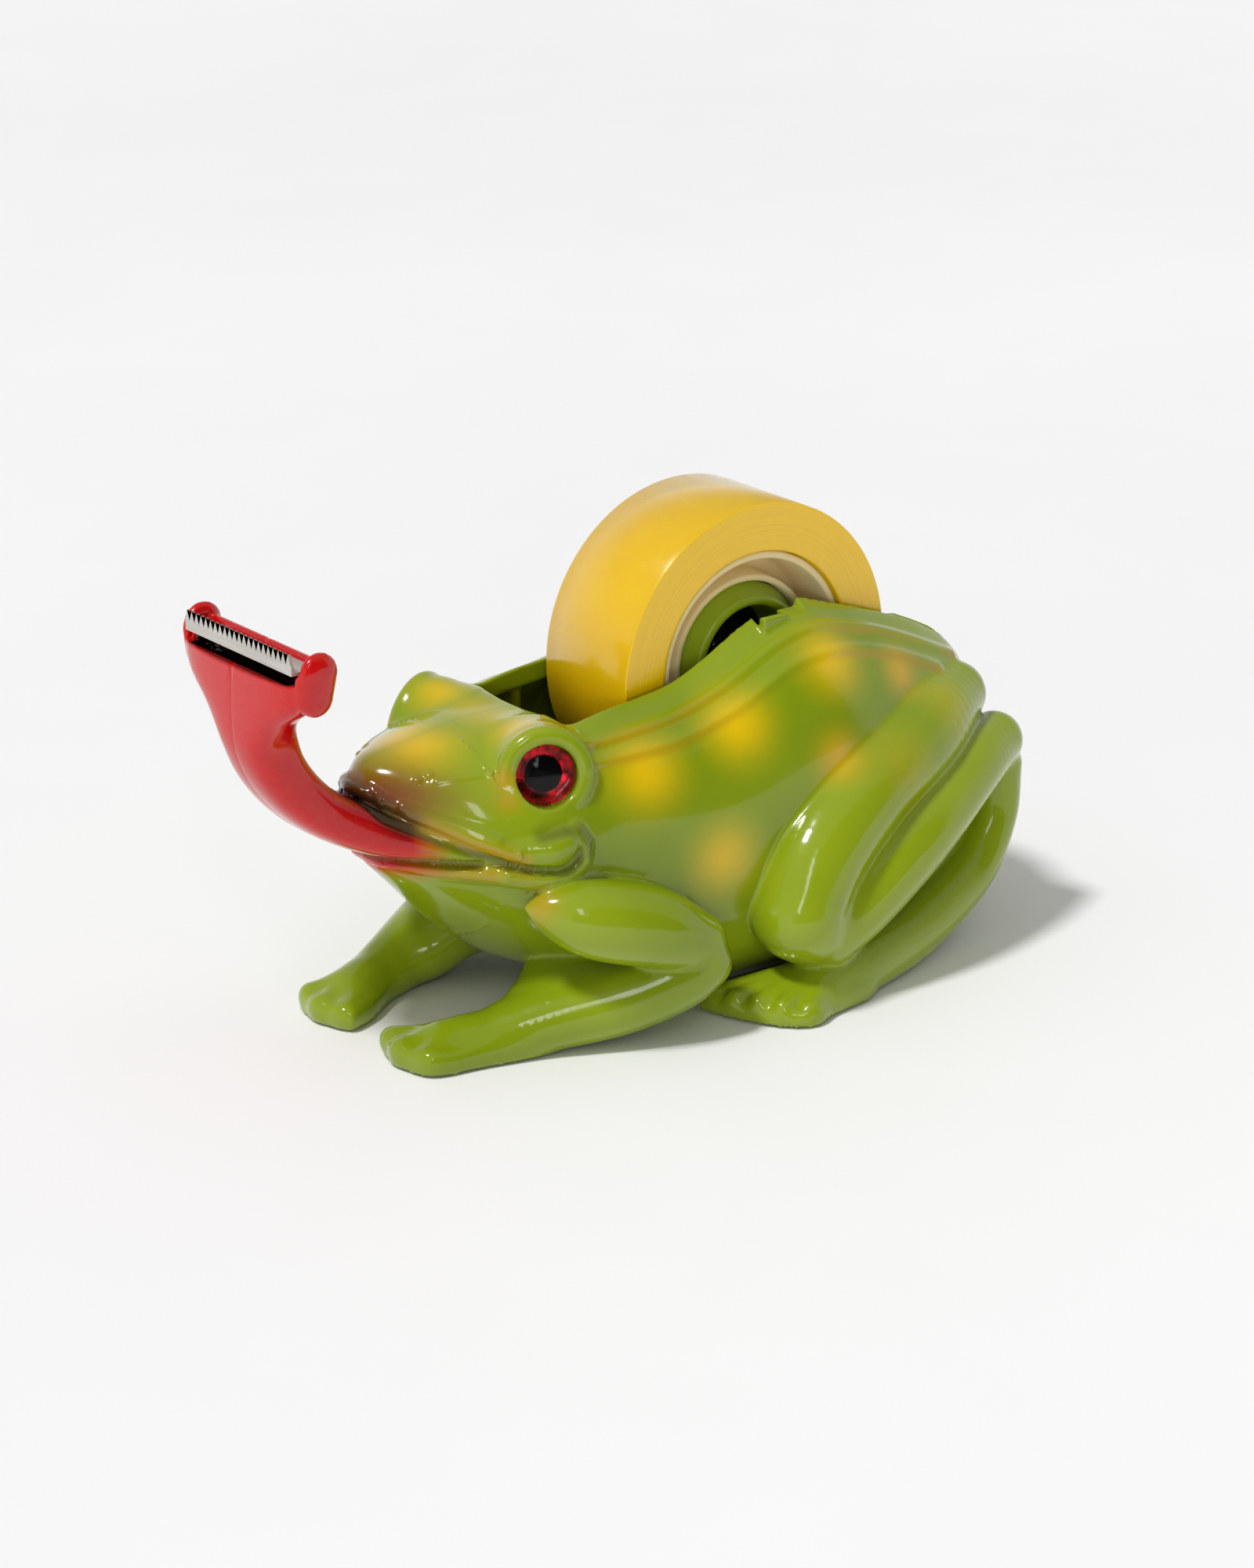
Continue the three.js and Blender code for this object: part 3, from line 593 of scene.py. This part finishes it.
def refined(vertices, quads, reaches):
    """Splits the edges near the fine lines, once for each reach, so that they come out sharp."""
    mesh = bpy.data.meshes.new("work")
    mesh.from_pydata(vertices.tolist(), [], quads.tolist())
    bm = bmesh.new()
    bm.from_mesh(mesh)
    bpy.data.meshes.remove(mesh)
    for reach in reaches:
        points = tuple(np.array([v.co for v in bm.verts]).T)
        close = np.zeros(len(bm.verts), bool)
        for rows, _, _ in LINES:
            low, high = rows.min(0) - 3, rows.max(0) + 3
            close |= near_only(points, low, high, lambda part: thread(part, rows)) < reach
        edges = [e for e in bm.edges if close[e.verts[0].index] and close[e.verts[1].index]]
        bmesh.ops.subdivide_edges(bm, edges=edges, cuts=1, use_grid_fill=True)
        bm.verts.index_update()
    return taken_out(bm)


def added(name, data):
    """A new object in the scene."""
    piece = bpy.data.objects.new(name, data)
    bpy.context.scene.collection.objects.link(piece)
    return piece


def mesh_object(name, vertices, faces, smooth=True):
    """A new object from millimetre coordinates measured from the axle."""
    mesh = bpy.data.meshes.new(name)
    world = (np.asarray(vertices, float) + np.array([AXLE_X, 0, 0])) * MM
    mesh.from_pydata(world.tolist(), [], [list(map(int, face)) for face in faces])
    mesh.validate()
    mesh.polygons.foreach_set("use_smooth", [smooth] * len(mesh.polygons))
    return added(name, mesh)


def halved(piece):
    """Cuts a mesh at the seam plane, keeps the far half and closes it."""
    bm = bmesh.new()
    bm.from_mesh(piece.data)
    everything = bm.verts[:] + bm.edges[:] + bm.faces[:]
    cut = bmesh.ops.bisect_plane(bm, geom=everything, plane_co=(0, SEAM * MM, 0), plane_no=(0, 1, 0),
                                 clear_inner=True, dist=1e-7)
    edges = [e for e in bm.edges if e.is_boundary]
    caps = bmesh.ops.triangle_fill(bm, edges=edges, use_beauty=True, normal=(0, -1, 0))
    for face in caps["geom"]:
        if isinstance(face, bmesh.types.BMFace):
            face.smooth = False
            for edge in face.edges:
                edge.smooth = False
    bm.to_mesh(piece.data)
    bm.free()


def mirrored(piece, name):
    """A copy on the other side of the seam plane."""
    mesh = piece.data.copy()
    mesh.name = name
    mesh.transform(Matrix.Scale(-1, 4, (0, 1, 0)))
    mesh.flip_normals()
    return added(name, mesh)


# ---- Paint and painted shade: soft masks kept on the vertices, read by the body's material ----
def soft_spots(points, rows):
    """Masks that fade with the distance from a centre; rows are x, y, z, radius, strength."""
    return [strength * np.exp(-((points - (x, y, z)) ** 2).sum(1) / radius ** 2)
            for x, y, z, radius, strength in rows]


def sunk(P):
    """How deep a point lies under the plain shell, from 0 to 1 at half a millimetre."""
    return np.clip(-shell(P) / 0.5, 0, 1)


# Soft spots on the skin, and the routes of soft bands.
YELLOW_SPOTS = [
    (-12.1, 20.1, 42.4, 4.9, 1), (-28.0, 19.7, 38.7, 5.2, 1), (5.4, 19.7, 48.7, 4.8, 1),
    (-17.4, 24.2, 24.7, 4.7, 0.9), (-55.0, 2.6, 43.6, 5.2, 0.95), (-42.2, 2.0, 46.0, 4.6, 0.5),
    (-42.6, 9.4, 46.0, 3.8, 0.8), (-33.5, 6.0, 46.1, 3.4, 0.6), (12.0, 25.4, 32.0, 5.5, 0.35),
    (25.0, 22.0, 38.0, 5.0, 0.3)]
ORANGE_SPOTS = [(19.0, 19.5, 44.2, 3.4, 1), (2.9, 24.8, 35.8, 3.6, 1)]
GOLDEN_SPOTS = [
    (-47.8, 21.5, 23.9, 2.6, 0.6), (-48.8, 14.4, 40.4, 1.8, 0.7), (-49.0, 15.7, 37.9, 1.8, 0.6)]
UPPER_GOLD = [(-61.6, 7.4, 36.0), (-58.0, 11.6, 34.2), (-53.2, 16.4, 31.8), (-48.6, 19.6, 29.8)]
LOWER_GOLD = [(-59.6, 7.4, 28.0), (-56.4, 11.4, 27.9), (-52.0, 16.0, 27.8), (-47.0, 19.8, 27.6)]
MOUTH_FRONT = [(-66, 0, 38.4), (-65.0, 3.0, 37.6), (-63.2, 6.6, 36.2), (-61.4, 9.0, 34.9)]
MOUTH_BOX = ((-66, 0, 24), (-38, 24, 40))


def painted(piece):
    """Keeps the masks of the paint and of the painted shade on the vertices, each from 0 to 1."""
    mesh = piece.data
    points = np.empty(len(mesh.vertices) * 3)
    mesh.vertices.foreach_get("co", points)
    points = points.reshape(-1, 3) / MM - np.array([AXLE_X, 0, 0])
    points[:, 1] = np.abs(points[:, 1])
    x, y, z = points.T
    above = np.clip((z - 24.5) / 2.5, 0, 1)
    mouth = np.array(MOUTH_LINE)[:8]
    lip = np.interp(x, mouth[:, 0], mouth[:, 2])
    below_lip = np.where(x < -65.3, 1, np.clip((lip - z) / 0.9 + 0.4, 0, 1))
    mouth_gap = thread((x, y, z), MOUTH_FRONT)
    brow = np.exp(-(((x + 62.0) / 7.2) ** 2 + ((z - 38.8) / 3.9) ** 2)) * (1 - below_lip)
    gold = soft_spots(points, GOLDEN_SPOTS)
    gold += [0.8 * np.exp(-(thread((x, y, z), row) / width) ** 2) * np.clip((-46 - x) / 4, 0, 1)
             for row, width in ((UPPER_GOLD, 1.3), (LOWER_GOLD, 1.2))]
    gold += [0.5 * np.exp(-(thread((x, y, z + 0.9), row) / 0.8) ** 2) for row in BACK_RIDGES]
    masks = {
        "yellow": np.max(soft_spots(points, YELLOW_SPOTS), axis=0),
        "orange": np.max(soft_spots(points, ORANGE_SPOTS), axis=0),
        "amber": np.max(gold, axis=0),
        "brown": brow,
        "red": above * below_lip * np.clip((-56.4 - x) / 5, 0, 1),
        # Dark maroon paint round the mouth's front, with painted shade where the lips meet the tongue.
        "maroon_and_shade": above * np.exp(-(mouth_gap / 2.0) ** 2),
        # Painted shade: darker where the surface sinks into the lines round the mouth.
        "crease_shade": near_only((x, y, z), *MOUTH_BOX, sunk, 0),
        # Painted shade: the slot under the blade, coloured near black.
        "slot": np.clip(1 - np.minimum(box((x, y, z), *SLOT_SHADE_BOX), box((x, y, z), *SLOT_EDGE_SHADE_BOX)) / 0.25, 0, 1),
    }
    for name, values in masks.items():
        layer = mesh.attributes.new(name, "FLOAT", "POINT")
        layer.data.foreach_set("value", values.astype(np.float32))


# ---- Lathed pieces ----
def lathed(name, profile, segments, origin, axis):
    """Closed surface of revolution: profile rows are radius, distance along the axis."""
    axis = Vector(axis).normalized()
    turn = Vector((0, 0, 1)).rotation_difference(axis).to_matrix()
    vertices, faces, rings = [], [], []
    for radius, along in profile:
        if radius < 1e-6:
            rings.append([len(vertices)])
            vertices.append((0, 0, along))
            continue
        rings.append(list(range(len(vertices), len(vertices) + segments)))
        for s in range(segments):
            a = 2 * math.pi * s / segments
            vertices.append((radius * math.cos(a), radius * math.sin(a), along))
    pairs = list(zip(rings, rings[1:]))
    if len(rings[0]) > 1:
        pairs.append((rings[-1], rings[0]))
    for lower, upper in pairs:
        for s in range(segments):
            n = (s + 1) % segments
            if len(lower) == 1:
                faces.append((lower[0], upper[n], upper[s]))
            elif len(upper) == 1:
                faces.append((lower[s], lower[n], upper[0]))
            else:
                faces.append((lower[s], lower[n], upper[n], upper[s]))
    placed = [turn @ Vector(v) + Vector(origin) for v in vertices]
    piece = mesh_object(name, [tuple(v) for v in placed], faces)
    bm = bmesh.new()
    bm.from_mesh(piece.data)
    bmesh.ops.recalc_face_normals(bm, faces=bm.faces)
    bm.to_mesh(piece.data)
    bm.free()
    return piece


def arc(centre, radius, start, end, steps):
    """Profile points on an arc, angles in degrees."""
    return [(centre[0] + radius * math.cos(math.radians(start + (end - start) * i / steps)),
             centre[1] + radius * math.sin(math.radians(start + (end - start) * i / steps)))
            for i in range(steps + 1)]


# ---- Materials ----
def rgb(code):
    """A colour written as on screen, turned into the light values that shaders use."""
    parts = [int(code[i:i + 2], 16) / 255 for i in (0, 2, 4)]
    return tuple(p / 12.92 if p <= 0.04045 else ((p + 0.055) / 1.055) ** 2.4 for p in parts) + (1.0,)


def map_range(tree, value, numbers, kind):
    """Maps a value from one range to another, in any node tree."""
    node = tree.nodes.new("ShaderNodeMapRange")
    node.interpolation_type = kind
    for socket, number in zip(("From Min", "From Max", "To Min", "To Max"), numbers):
        node.inputs[socket].default_value = number
    tree.links.new(value, node.inputs["Value"])
    return node.outputs["Result"]


class Look:
    """A node material under construction."""

    def __init__(self, name, settings):
        self.material = bpy.data.materials.new(name)
        self.material.use_nodes = True
        self.tree = self.material.node_tree
        self.shader = self.tree.nodes["Principled BSDF"]
        for socket, value in settings.items():
            self.shader.inputs[socket].default_value = value
        self.place = self.add("ShaderNodeTexCoord").outputs["Object"]

    def add(self, kind, **properties):
        node = self.tree.nodes.new(kind)
        for key, value in properties.items():
            setattr(node, key, value)
        return node

    def link(self, source, socket):
        self.tree.links.new(source, socket)

    def noise(self, scale, detail=3.0, roughness=0.5, stretch=None):
        """Noise over the piece; scale is in features per metre."""
        texture = self.add("ShaderNodeTexNoise")
        texture.inputs["Scale"].default_value = scale
        texture.inputs["Detail"].default_value = detail
        texture.inputs["Roughness"].default_value = roughness
        place = self.place
        if stretch:
            mapping = self.add("ShaderNodeMapping")
            mapping.inputs["Scale"].default_value = stretch
            self.link(place, mapping.inputs["Vector"])
            place = mapping.outputs["Vector"]
        self.link(place, texture.inputs["Vector"])
        return texture.outputs["Fac"]

    def mask(self, name):
        return self.add("ShaderNodeAttribute", attribute_name=name).outputs["Fac"]

    def spread(self, value, low, high, out_low=0.0, out_high=1.0, smooth=True):
        """Maps a value from one range to another, with soft ends unless smooth is off."""
        kind = "SMOOTHSTEP" if smooth else "LINEAR"
        return map_range(self.tree, value, (low, high, out_low, out_high), kind)

    def feed(self, socket, value):
        """Sets a socket to a number or a colour, or links another node's output to it."""
        if isinstance(value, (int, float, tuple)):
            socket.default_value = value
        else:
            self.link(value, socket)

    def math(self, operation, *values):
        node = self.add("ShaderNodeMath", operation=operation)
        for socket, value in zip(node.inputs, values):
            self.feed(socket, value)
        return node.outputs[0]

    def mix(self, amount, first, second):
        """Colour between two colours; each is a colour or another node's output."""
        node = self.add("ShaderNodeMix", data_type="RGBA", clamp_factor=True)
        self.feed(node.inputs["Factor"], amount)
        sockets = [s for s in node.inputs if s.name in "AB" and s.type == "RGBA"]
        for socket, value in zip(sockets, (first, second)):
            self.feed(socket, value)
        return [s for s in node.outputs if s.type == "RGBA"][0]

    def shades(self, scale, detail, first, second):
        """A soft, uneven mix of two colours."""
        return self.mix(self.spread(self.noise(scale, detail), 0.3, 0.7), rgb(first), rgb(second))

    def bump(self, height, strength, distance):
        node = self.add("ShaderNodeBump")
        node.inputs["Strength"].default_value = strength
        node.inputs["Distance"].default_value = distance
        self.link(height, node.inputs["Height"])
        self.link(node.outputs["Normal"], self.shader.inputs["Normal"])

    def colour(self, source):
        self.link(source, self.shader.inputs["Base Color"])
        return self.material

    def rough(self, pattern, low, high):
        """Roughness from low to high, where a pattern goes from dark to light."""
        self.link(self.spread(pattern, 0.3, 0.7, low, high), self.shader.inputs["Roughness"])


# The coats, from the first to the last: mask, colour, strength. The last two, and part of the maroon, are
# painted shade.
PAINT_AND_SHADE_COATS = [("yellow", "dcb80c", 1.0), ("orange", "cca414", 0.95), ("amber", "c08a1c", 0.9),
            ("brown", "78381a", 0.95), ("red", "c4060c", 1.0), ("maroon_and_shade", "2c0c0c", 0.95),
            ("crease_shade", "3c3c0a", 0.65), ("slot", "0c0505", 1.0)]


def paint_and_shade_look():
    look = Look("frog_paint_and_shade", {"Specular IOR Level": 0.35, "Coat Weight": 0.4, "Coat Roughness": 0.04,
                               "Subsurface Weight": 0.06, "Subsurface Radius": (0.002, 0.002, 0.0006)})
    colour = look.mix(look.spread(look.noise(34, 2), 0.35, 0.65), rgb("7c900c"), rgb("8c9e16"))
    speckle = look.spread(look.noise(900, 4, 0.65), 0.2, 0.8, -0.04, 0.04)
    for name, code, strength in PAINT_AND_SHADE_COATS:
        mask = look.mask(name)
        grain = look.math("MULTIPLY", speckle, look.spread(mask, 0.02, 0.3))
        amount = look.spread(look.math("ADD", mask, grain), 0.03, 1.0, 0, strength, smooth=False)
        colour = look.mix(amount, colour, rgb(code))
    look.rough(look.noise(420, 3), 0.12, 0.2)
    look.bump(look.noise(160, 2), 0.10, 0.0006)
    return look.colour(colour)


def ring_radius(look):
    """Distance from the reel's axle line, in metres, as a node output."""
    shift = look.add("ShaderNodeMapping")
    shift.inputs["Location"].default_value = (-AXLE_X * MM, 0, -AXLE_Z * MM)
    shift.inputs["Scale"].default_value = (1, 0, 1)
    look.link(look.place, shift.inputs["Vector"])
    size = look.add("ShaderNodeVectorMath", operation="LENGTH")
    look.link(shift.outputs["Vector"], size.inputs[0])
    return size.outputs["Value"]


def tape_look():
    look = Look("amber_tape", {"Coat Weight": 0.5, "Coat Roughness": 0.05, "Subsurface Weight": 0.55,
                               "Subsurface Radius": (0.005, 0.0045, 0.0005)})
    radius = ring_radius(look)
    layers = look.add("ShaderNodeTexNoise", noise_dimensions="1D")
    layers.inputs["Scale"].default_value = 2600
    layers.inputs["Detail"].default_value = 4
    look.link(radius, layers.inputs["W"])
    base = look.shades(60, 3, "deb308", "e4ba0c")
    split = look.add("ShaderNodeSeparateXYZ")
    look.link(look.add("ShaderNodeTexCoord").outputs["Normal"], split.inputs["Vector"])
    side_face = look.spread(look.math("ABSOLUTE", split.outputs["Y"]), 0.6, 0.9)
    base = look.mix(side_face, base, rgb("fdcc0a"))
    wound = look.mix(look.spread(layers.outputs["Fac"], 0.4, 0.75, 0, 0.22), base, rgb("c89c04"))
    look.rough(look.noise(300, 3), 0.16, 0.28)
    look.bump(layers.outputs["Fac"], 0.12, 0.0003)
    return look.colour(wound)


def core_look():
    look = Look("beige_core", {"Subsurface Weight": 0.5, "Subsurface Radius": (0.006, 0.005, 0.003)})
    look.rough(look.noise(500, 3), 0.3, 0.45)
    look.bump(look.noise(900, 3), 0.08, 0.0002)
    return look.colour(look.shades(80, 3, "ecd49a", "f4e2b2"))


def hub_look():
    """Green, with the hollow inside the rim painted near black as deep shade."""
    look = Look("hub_plastic_and_shade", {"Coat Weight": 0.3, "Coat Roughness": 0.1})
    # Painted shade: inside the rim the colour turns near black.
    hollow = look.spread(ring_radius(look), (HUB_MOUTH - 0.7) * MM, (HUB_MOUTH - 0.1) * MM, 1, 0)
    tone = look.mix(hollow, look.shades(70, 3, "88a012", "98ae1e"), rgb("10130a"))
    look.rough(look.noise(400, 3), 0.14, 0.24)
    look.bump(look.noise(700, 3), 0.06, 0.0002)
    return look.colour(tone)


def steel_look():
    look = Look("blade_steel", {"Metallic": 0.45})
    drawn = look.noise(500, 4, 0.6, (1, 0.15, 3))
    spots = look.noise(260, 5, 0.7)
    tone = look.mix(look.spread(drawn, 0.3, 0.7), rgb("bab5ae"), rgb("cfcbc5"))
    tone = look.mix(look.spread(spots, 0.66, 0.8, 0, 0.5), tone, rgb("7b746a"))
    look.rough(drawn, 0.3, 0.46)
    look.bump(drawn, 0.12, 0.0002)
    return look.colour(tone)


def dark_look(name, low, high, roughness, grain):
    """Plain looks for the pieces that keep their CAD shape; grain is the bumps' scale."""
    look = Look(name, {})
    look.rough(look.noise(500, 3), roughness - 0.08, roughness + 0.08)
    look.bump(look.noise(grain, 3), 0.2, 0.0003)
    return look.colour(look.shades(120, 3, low, high))


def iris_look():
    look = Look("red_foil", {"Metallic": 0.9})
    glints = look.noise(420, 4, 0.7)
    tone = look.mix(look.spread(glints, 0.35, 0.65), rgb("420006"), rgb("d00418"))
    look.rough(glints, 0.18, 0.3)
    look.bump(glints, 0.5, 0.0004)
    return look.colour(tone)


def pupil_look():
    look = Look("pupil_black", {"Specular IOR Level": 0.0})
    look.rough(look.noise(500, 3), 0.4, 0.5)
    return look.colour(look.shades(300, 3, "000000", "020102"))


def lens_look():
    look = Look("clear_lens", {"Transmission Weight": 1.0, "IOR": 1.22, "Base Color": (1, 1, 1, 1)})
    look.rough(look.noise(300, 3), 0.0, 0.03)
    return look.material


def floor_look():
    look = Look("pale_floor", {"Specular IOR Level": 0.2})
    look.rough(look.noise(40, 3), 0.55, 0.65)
    return look.colour(look.shades(3, 2, "f4f4f4", "f8f8f8"))


def dress(piece, material):
    """Gives a piece one material."""
    piece.data.materials.clear()
    piece.data.materials.append(material)


# ---- Pieces ----
def stand_in(piece, material, body, node):
    """Dresses a piece and lets it stand in for a CAD node."""
    dress(piece, material)
    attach(piece, body)
    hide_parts(node)


GRID_LOW = (-86.5, -1.0, -0.9)
GRID_SIZE = (132.5, 38.5, 70.5)


def body_shells(material):
    """Both halves: the right one is made from the field, the left one is its mirror image."""
    step = 0.55
    grid = sampled(shell, GRID_LOW, GRID_SIZE, step)
    vertices, quads = surface(grid, GRID_LOW, step)
    vertices, faces = refined(vertices, quads, ((2.2, 1.0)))
    vertices = settle(vertices, finished, 4)
    right = mesh_object("shell_right", vertices, faces)
    halved(right)
    painted(right)
    left = mirrored(right, "shell_left")
    for piece, node in ((left, "body_shell_left"), (right, "body_shell_right")):
        stand_in(piece, material, "body", node)


def reel_piece(name, profile, segments, material, node):
    """A lathed piece on the axle; the profile is one side's, and the other side mirrors it."""
    both = profile + [(r, -a) for r, a in reversed(profile)]
    piece = lathed(name, both, segments, (0, 0, AXLE_Z), (0, 1, 0))
    stand_in(piece, material, "reel", node)


def tape_roll(material):
    """The roll; its side faces have shallow steps, like wound tape."""
    inner = CORE_OUTER + 0.1
    steps = 24
    profile = [(inner, ROLL_HALF - 0.15)]
    for i in range(1, steps):
        r = inner + (ROLL_OUTER - inner) * i / steps
        profile.append((r, ROLL_HALF - (0.0 if i % 2 else 0.05)))
    profile += [(ROLL_OUTER - 0.12, ROLL_HALF), (ROLL_OUTER, ROLL_HALF - 0.12)]
    reel_piece("amber_roll", profile, 256, material, "tape_roll")


def tape_core(material):
    """Two tubes joined by a web; the inner one is set back."""
    bore = HUB_OUTER + 0.25
    sunk_half = CORE_HALF - 2.5
    web_half = 0.9
    profile = [(CORE_OUTER, CORE_HALF - 0.25), (CORE_OUTER - 0.25, CORE_HALF),
               (CORE_OUTER - 0.95, CORE_HALF), (CORE_OUTER - 1.15, CORE_HALF - 0.2),
               (CORE_OUTER - 1.35, web_half + 0.4), (CORE_OUTER - 1.7, web_half), (bore + 1.5, web_half),
               (bore + 1.15, web_half + 0.4), (bore + 0.95, sunk_half - 0.2), (bore + 0.75, sunk_half),
               (bore + 0.2, sunk_half), (bore, sunk_half - 0.2)]
    reel_piece("beige_core", profile, 192, material, "tape_core")


def tape_hub(material):
    """The hub: a round rim, a hollow face and a boss on the axle."""
    rim = 0.8
    profile = [(HUB_OUTER, CORE_HALF - 3.6), (HUB_OUTER - 0.3, CORE_HALF - 3.3)]
    profile += arc((HUB_MOUTH + rim, HUB_HALF - rim), rim, 0, 180, 10)
    profile += [(HUB_MOUTH - 0.1, 1.4), (HUB_MOUTH - 0.4, 1.0), (2.9, 1.0), (2.5, 1.4), (2.35, 3.0)]
    reel_piece("green_hub", profile, 160, material, "tape_hub")


# Eye profiles are radius, distance along the eye's axis.
EYE_EDGE = LENS_RADIUS - 0.12
FOIL = [(0, -2.5), (EYE_EDGE, -2.5), (EYE_EDGE, -1.55), (EYE_EDGE - 0.5, -1.5), (3.4, -1.75), (2.6, -1.9),
        (0, -1.9)]
PUPIL = [(0, -1.8), (2.35, -1.8), (2.45, -1.7), (2.35, -1.55), (1.6, -1.4), (0, -1.3)]
DOME_FOOT = -0.7
DOME_HEIGHT = 1.9
DOME = [(0, -1.15), (1.6, -1.2), (2.4, -1.3), (3.2, -1.35), (EYE_EDGE - 0.02, -1.35), (EYE_EDGE, -1.2),
        (EYE_EDGE, DOME_FOOT)]
DOME += [(EYE_EDGE * math.cos(a), DOME_FOOT + DOME_HEIGHT * math.sin(a))
         for a in np.linspace(0.12, math.pi / 2, 12)[:-1]]
DOME.append((0, DOME_FOOT + DOME_HEIGHT))


def eye_pieces(iris, pupil, lens):
    parts = [("foil", FOIL, iris, "eye_iris", "red_foil"),
             ("pupil", PUPIL, pupil, "eye_pupil", "black_gloss"),
             ("dome", DOME, lens, "eye_lens", "clear_acrylic")]
    for side, name in ((-1, "left"), (1, "right")):
        flip = np.array([1, side, 1])
        for part, profile, material, node, slot in parts:
            piece = lathed(f"{part}_{name}", profile, 64, tuple(EYE * flip), tuple(EYE_AXIS * flip))
            stand_in(piece, material, "body", f"{node}_{name}")


def prism(bm, outline, x0, x1):
    """A closed block with an outline in y and z, from x0 to x1."""
    front = [bm.verts.new((x0, y, z)) for y, z in outline]
    back = [bm.verts.new((x1, y, z)) for y, z in outline]
    bm.faces.new(front)
    bm.faces.new(back[::-1])
    for i in range(len(outline)):
        n = (i + 1) % len(outline)
        bm.faces.new((front[i], back[i], back[n], front[n]))


TEETH = 22
TOOTH_DEPTH = 1.5
TOOTH_FOOT = 0.12                # where a tooth starts and has its point, in parts of the pitch
TOOTH_POINT = 0.62
SHEET = 0.45                     # the steel's thickness


def blade_piece(material):
    """The cutter: a toothed plate with a flat flange behind it."""
    low, high = node_box("cutter_blade")
    pitch = (high[1] - low[1]) / TEETH
    root = high[2] - TOOTH_DEPTH
    outline = [(low[1], low[2]), (low[1], root)]
    for i in range(TEETH):
        y = low[1] + pitch * i
        outline += [(y + TOOTH_FOOT * pitch, root), (y + TOOTH_POINT * pitch, high[2])]
    outline += [(high[1], root), (high[1], low[2])]
    bm = bmesh.new()
    prism(bm, outline, low[0], low[0] + SHEET)
    flange = [(low[1], low[2]), (low[1], low[2] + SHEET), (high[1], low[2] + SHEET), (high[1], low[2])]
    prism(bm, flange, low[0] + SHEET, high[0])
    bmesh.ops.triangulate(bm, faces=bm.faces)
    bmesh.ops.recalc_face_normals(bm, faces=bm.faces)
    bm.verts.index_update()
    plate = mesh_object("toothed_blade", *taken_out(bm), smooth=False)
    stand_in(plate, material, "body", "cutter_blade")


# ---- Camera, lights and floor ----
CAMERA_PLACE = (-390.63, -489.83, 250.04)    # in millimetres, x from the axle
CAMERA_TURN = math.radians(-37.383)
CAMERA_RISE = math.radians(19.746)
CAMERA_LENS = 103.41


def camera():
    back = Vector((math.sin(CAMERA_TURN) * math.cos(CAMERA_RISE),
                   -math.cos(CAMERA_TURN) * math.cos(CAMERA_RISE), math.sin(CAMERA_RISE)))
    eye = bpy.data.cameras.new("camera")
    eye.sensor_fit = "VERTICAL"
    eye.sensor_height = 36
    eye.lens = CAMERA_LENS
    eye.clip_start = 0.01
    piece = added("camera", eye)
    piece.location = (Vector(CAMERA_PLACE) + Vector((AXLE_X, 0, 0))) * MM
    piece.rotation_mode = "QUATERNION"
    piece.rotation_quaternion = back.to_track_quat("Z", "Y")
    bpy.context.scene.camera = piece


HORIZON = 0.78
ZENITH = 0.40
CAMERA_SIDE = 0.12        # how bright the unlit side of the studio is, next to the rest


def sky():
    """White walls near the horizon and grey overhead, with the dark room on the camera's side."""
    world = bpy.data.worlds.new("studio")
    bpy.context.scene.world = world
    world.use_nodes = True
    tree = world.node_tree
    nodes, links = tree.nodes, tree.links
    background = nodes["Background"]
    background.inputs["Color"].default_value = (1, 1, 1, 1)
    split = nodes.new("ShaderNodeSeparateXYZ")
    links.new(nodes.new("ShaderNodeTexCoord").outputs["Generated"], split.inputs["Vector"])
    height = map_range(tree, split.outputs["Z"], (0.1, 0.6, HORIZON, ZENITH), "SMOOTHSTEP")
    side = map_range(tree, split.outputs["Y"], (-0.72, -0.6, CAMERA_SIDE, 1), "SMOOTHSTEP")
    product = nodes.new("ShaderNodeMath")
    product.operation = "MULTIPLY"
    links.new(height, product.inputs[0])
    links.new(side, product.inputs[1])
    links.new(product.outputs[0], background.inputs["Strength"])


def lamp(name, kind, place, energy, **settings):
    """A light that shines from `place` towards the object."""
    data = bpy.data.lights.new(name, kind)
    data.energy = energy
    for key, value in settings.items():
        setattr(data, key, value)
    piece = added(name, data)
    piece.location = place
    piece.rotation_mode = "QUATERNION"
    piece.rotation_quaternion = Vector(place).to_track_quat("Z", "Y")
    return piece


def studio():
    lamp("key", "SUN", (-0.97, -0.08, 1.75), 2.05, angle=math.radians(9))
    lamp("strip", "AREA", (-1.3, -2.0, 1.6), 5, shape="RECTANGLE", size=0.3, size_y=0.9)
    fill = lamp("fill", "AREA", (-2.0, -3.5, 0.62), 28, shape="RECTANGLE", size=2.0, size_y=0.6)
    fill.visible_glossy = False
    sky()
    bm = bmesh.new()
    bmesh.ops.create_grid(bm, x_segments=24, y_segments=24, size=4)    # half its width, in metres
    mesh = bpy.data.meshes.new("floor")
    bm.to_mesh(mesh)
    bm.free()
    floor = added("floor", mesh)
    dress(floor, floor_look())
    bpy.context.scene.view_settings.view_transform = "Standard"


camera()
studio()
body_shells(paint_and_shade_look())
tape_roll(tape_look())
tape_core(core_look())
tape_hub(hub_look())
eye_pieces(iris_look(), pupil_look(), lens_look())
blade_piece(steel_look())
kept_looks = {
    "belly_cover": dark_look("black_plastic", "151515", "232323", 0.5, 900),
    "ballast_weight": dark_look("cast_iron", "3a3835", "4c4a46", 0.6, 500),
    "hub_axle": dark_look("axle_steel", "8c8a86", "a9a7a2", 0.35, 700),
}
for number in range(1, 5):
    kept_looks[f"belly_screw_{number}"] = kept_looks["hub_axle"]
for end in ("front", "rear"):
    for side in ("left", "right"):
        rubber = dark_look(f"rubber_{end}_{side}", "1c1c1c", "2c2c2c", 0.75, 1200)
        kept_looks[f"foot_pad_{end}_{side}"] = rubber
for node, material in kept_looks.items():
    dress(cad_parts[node], material)
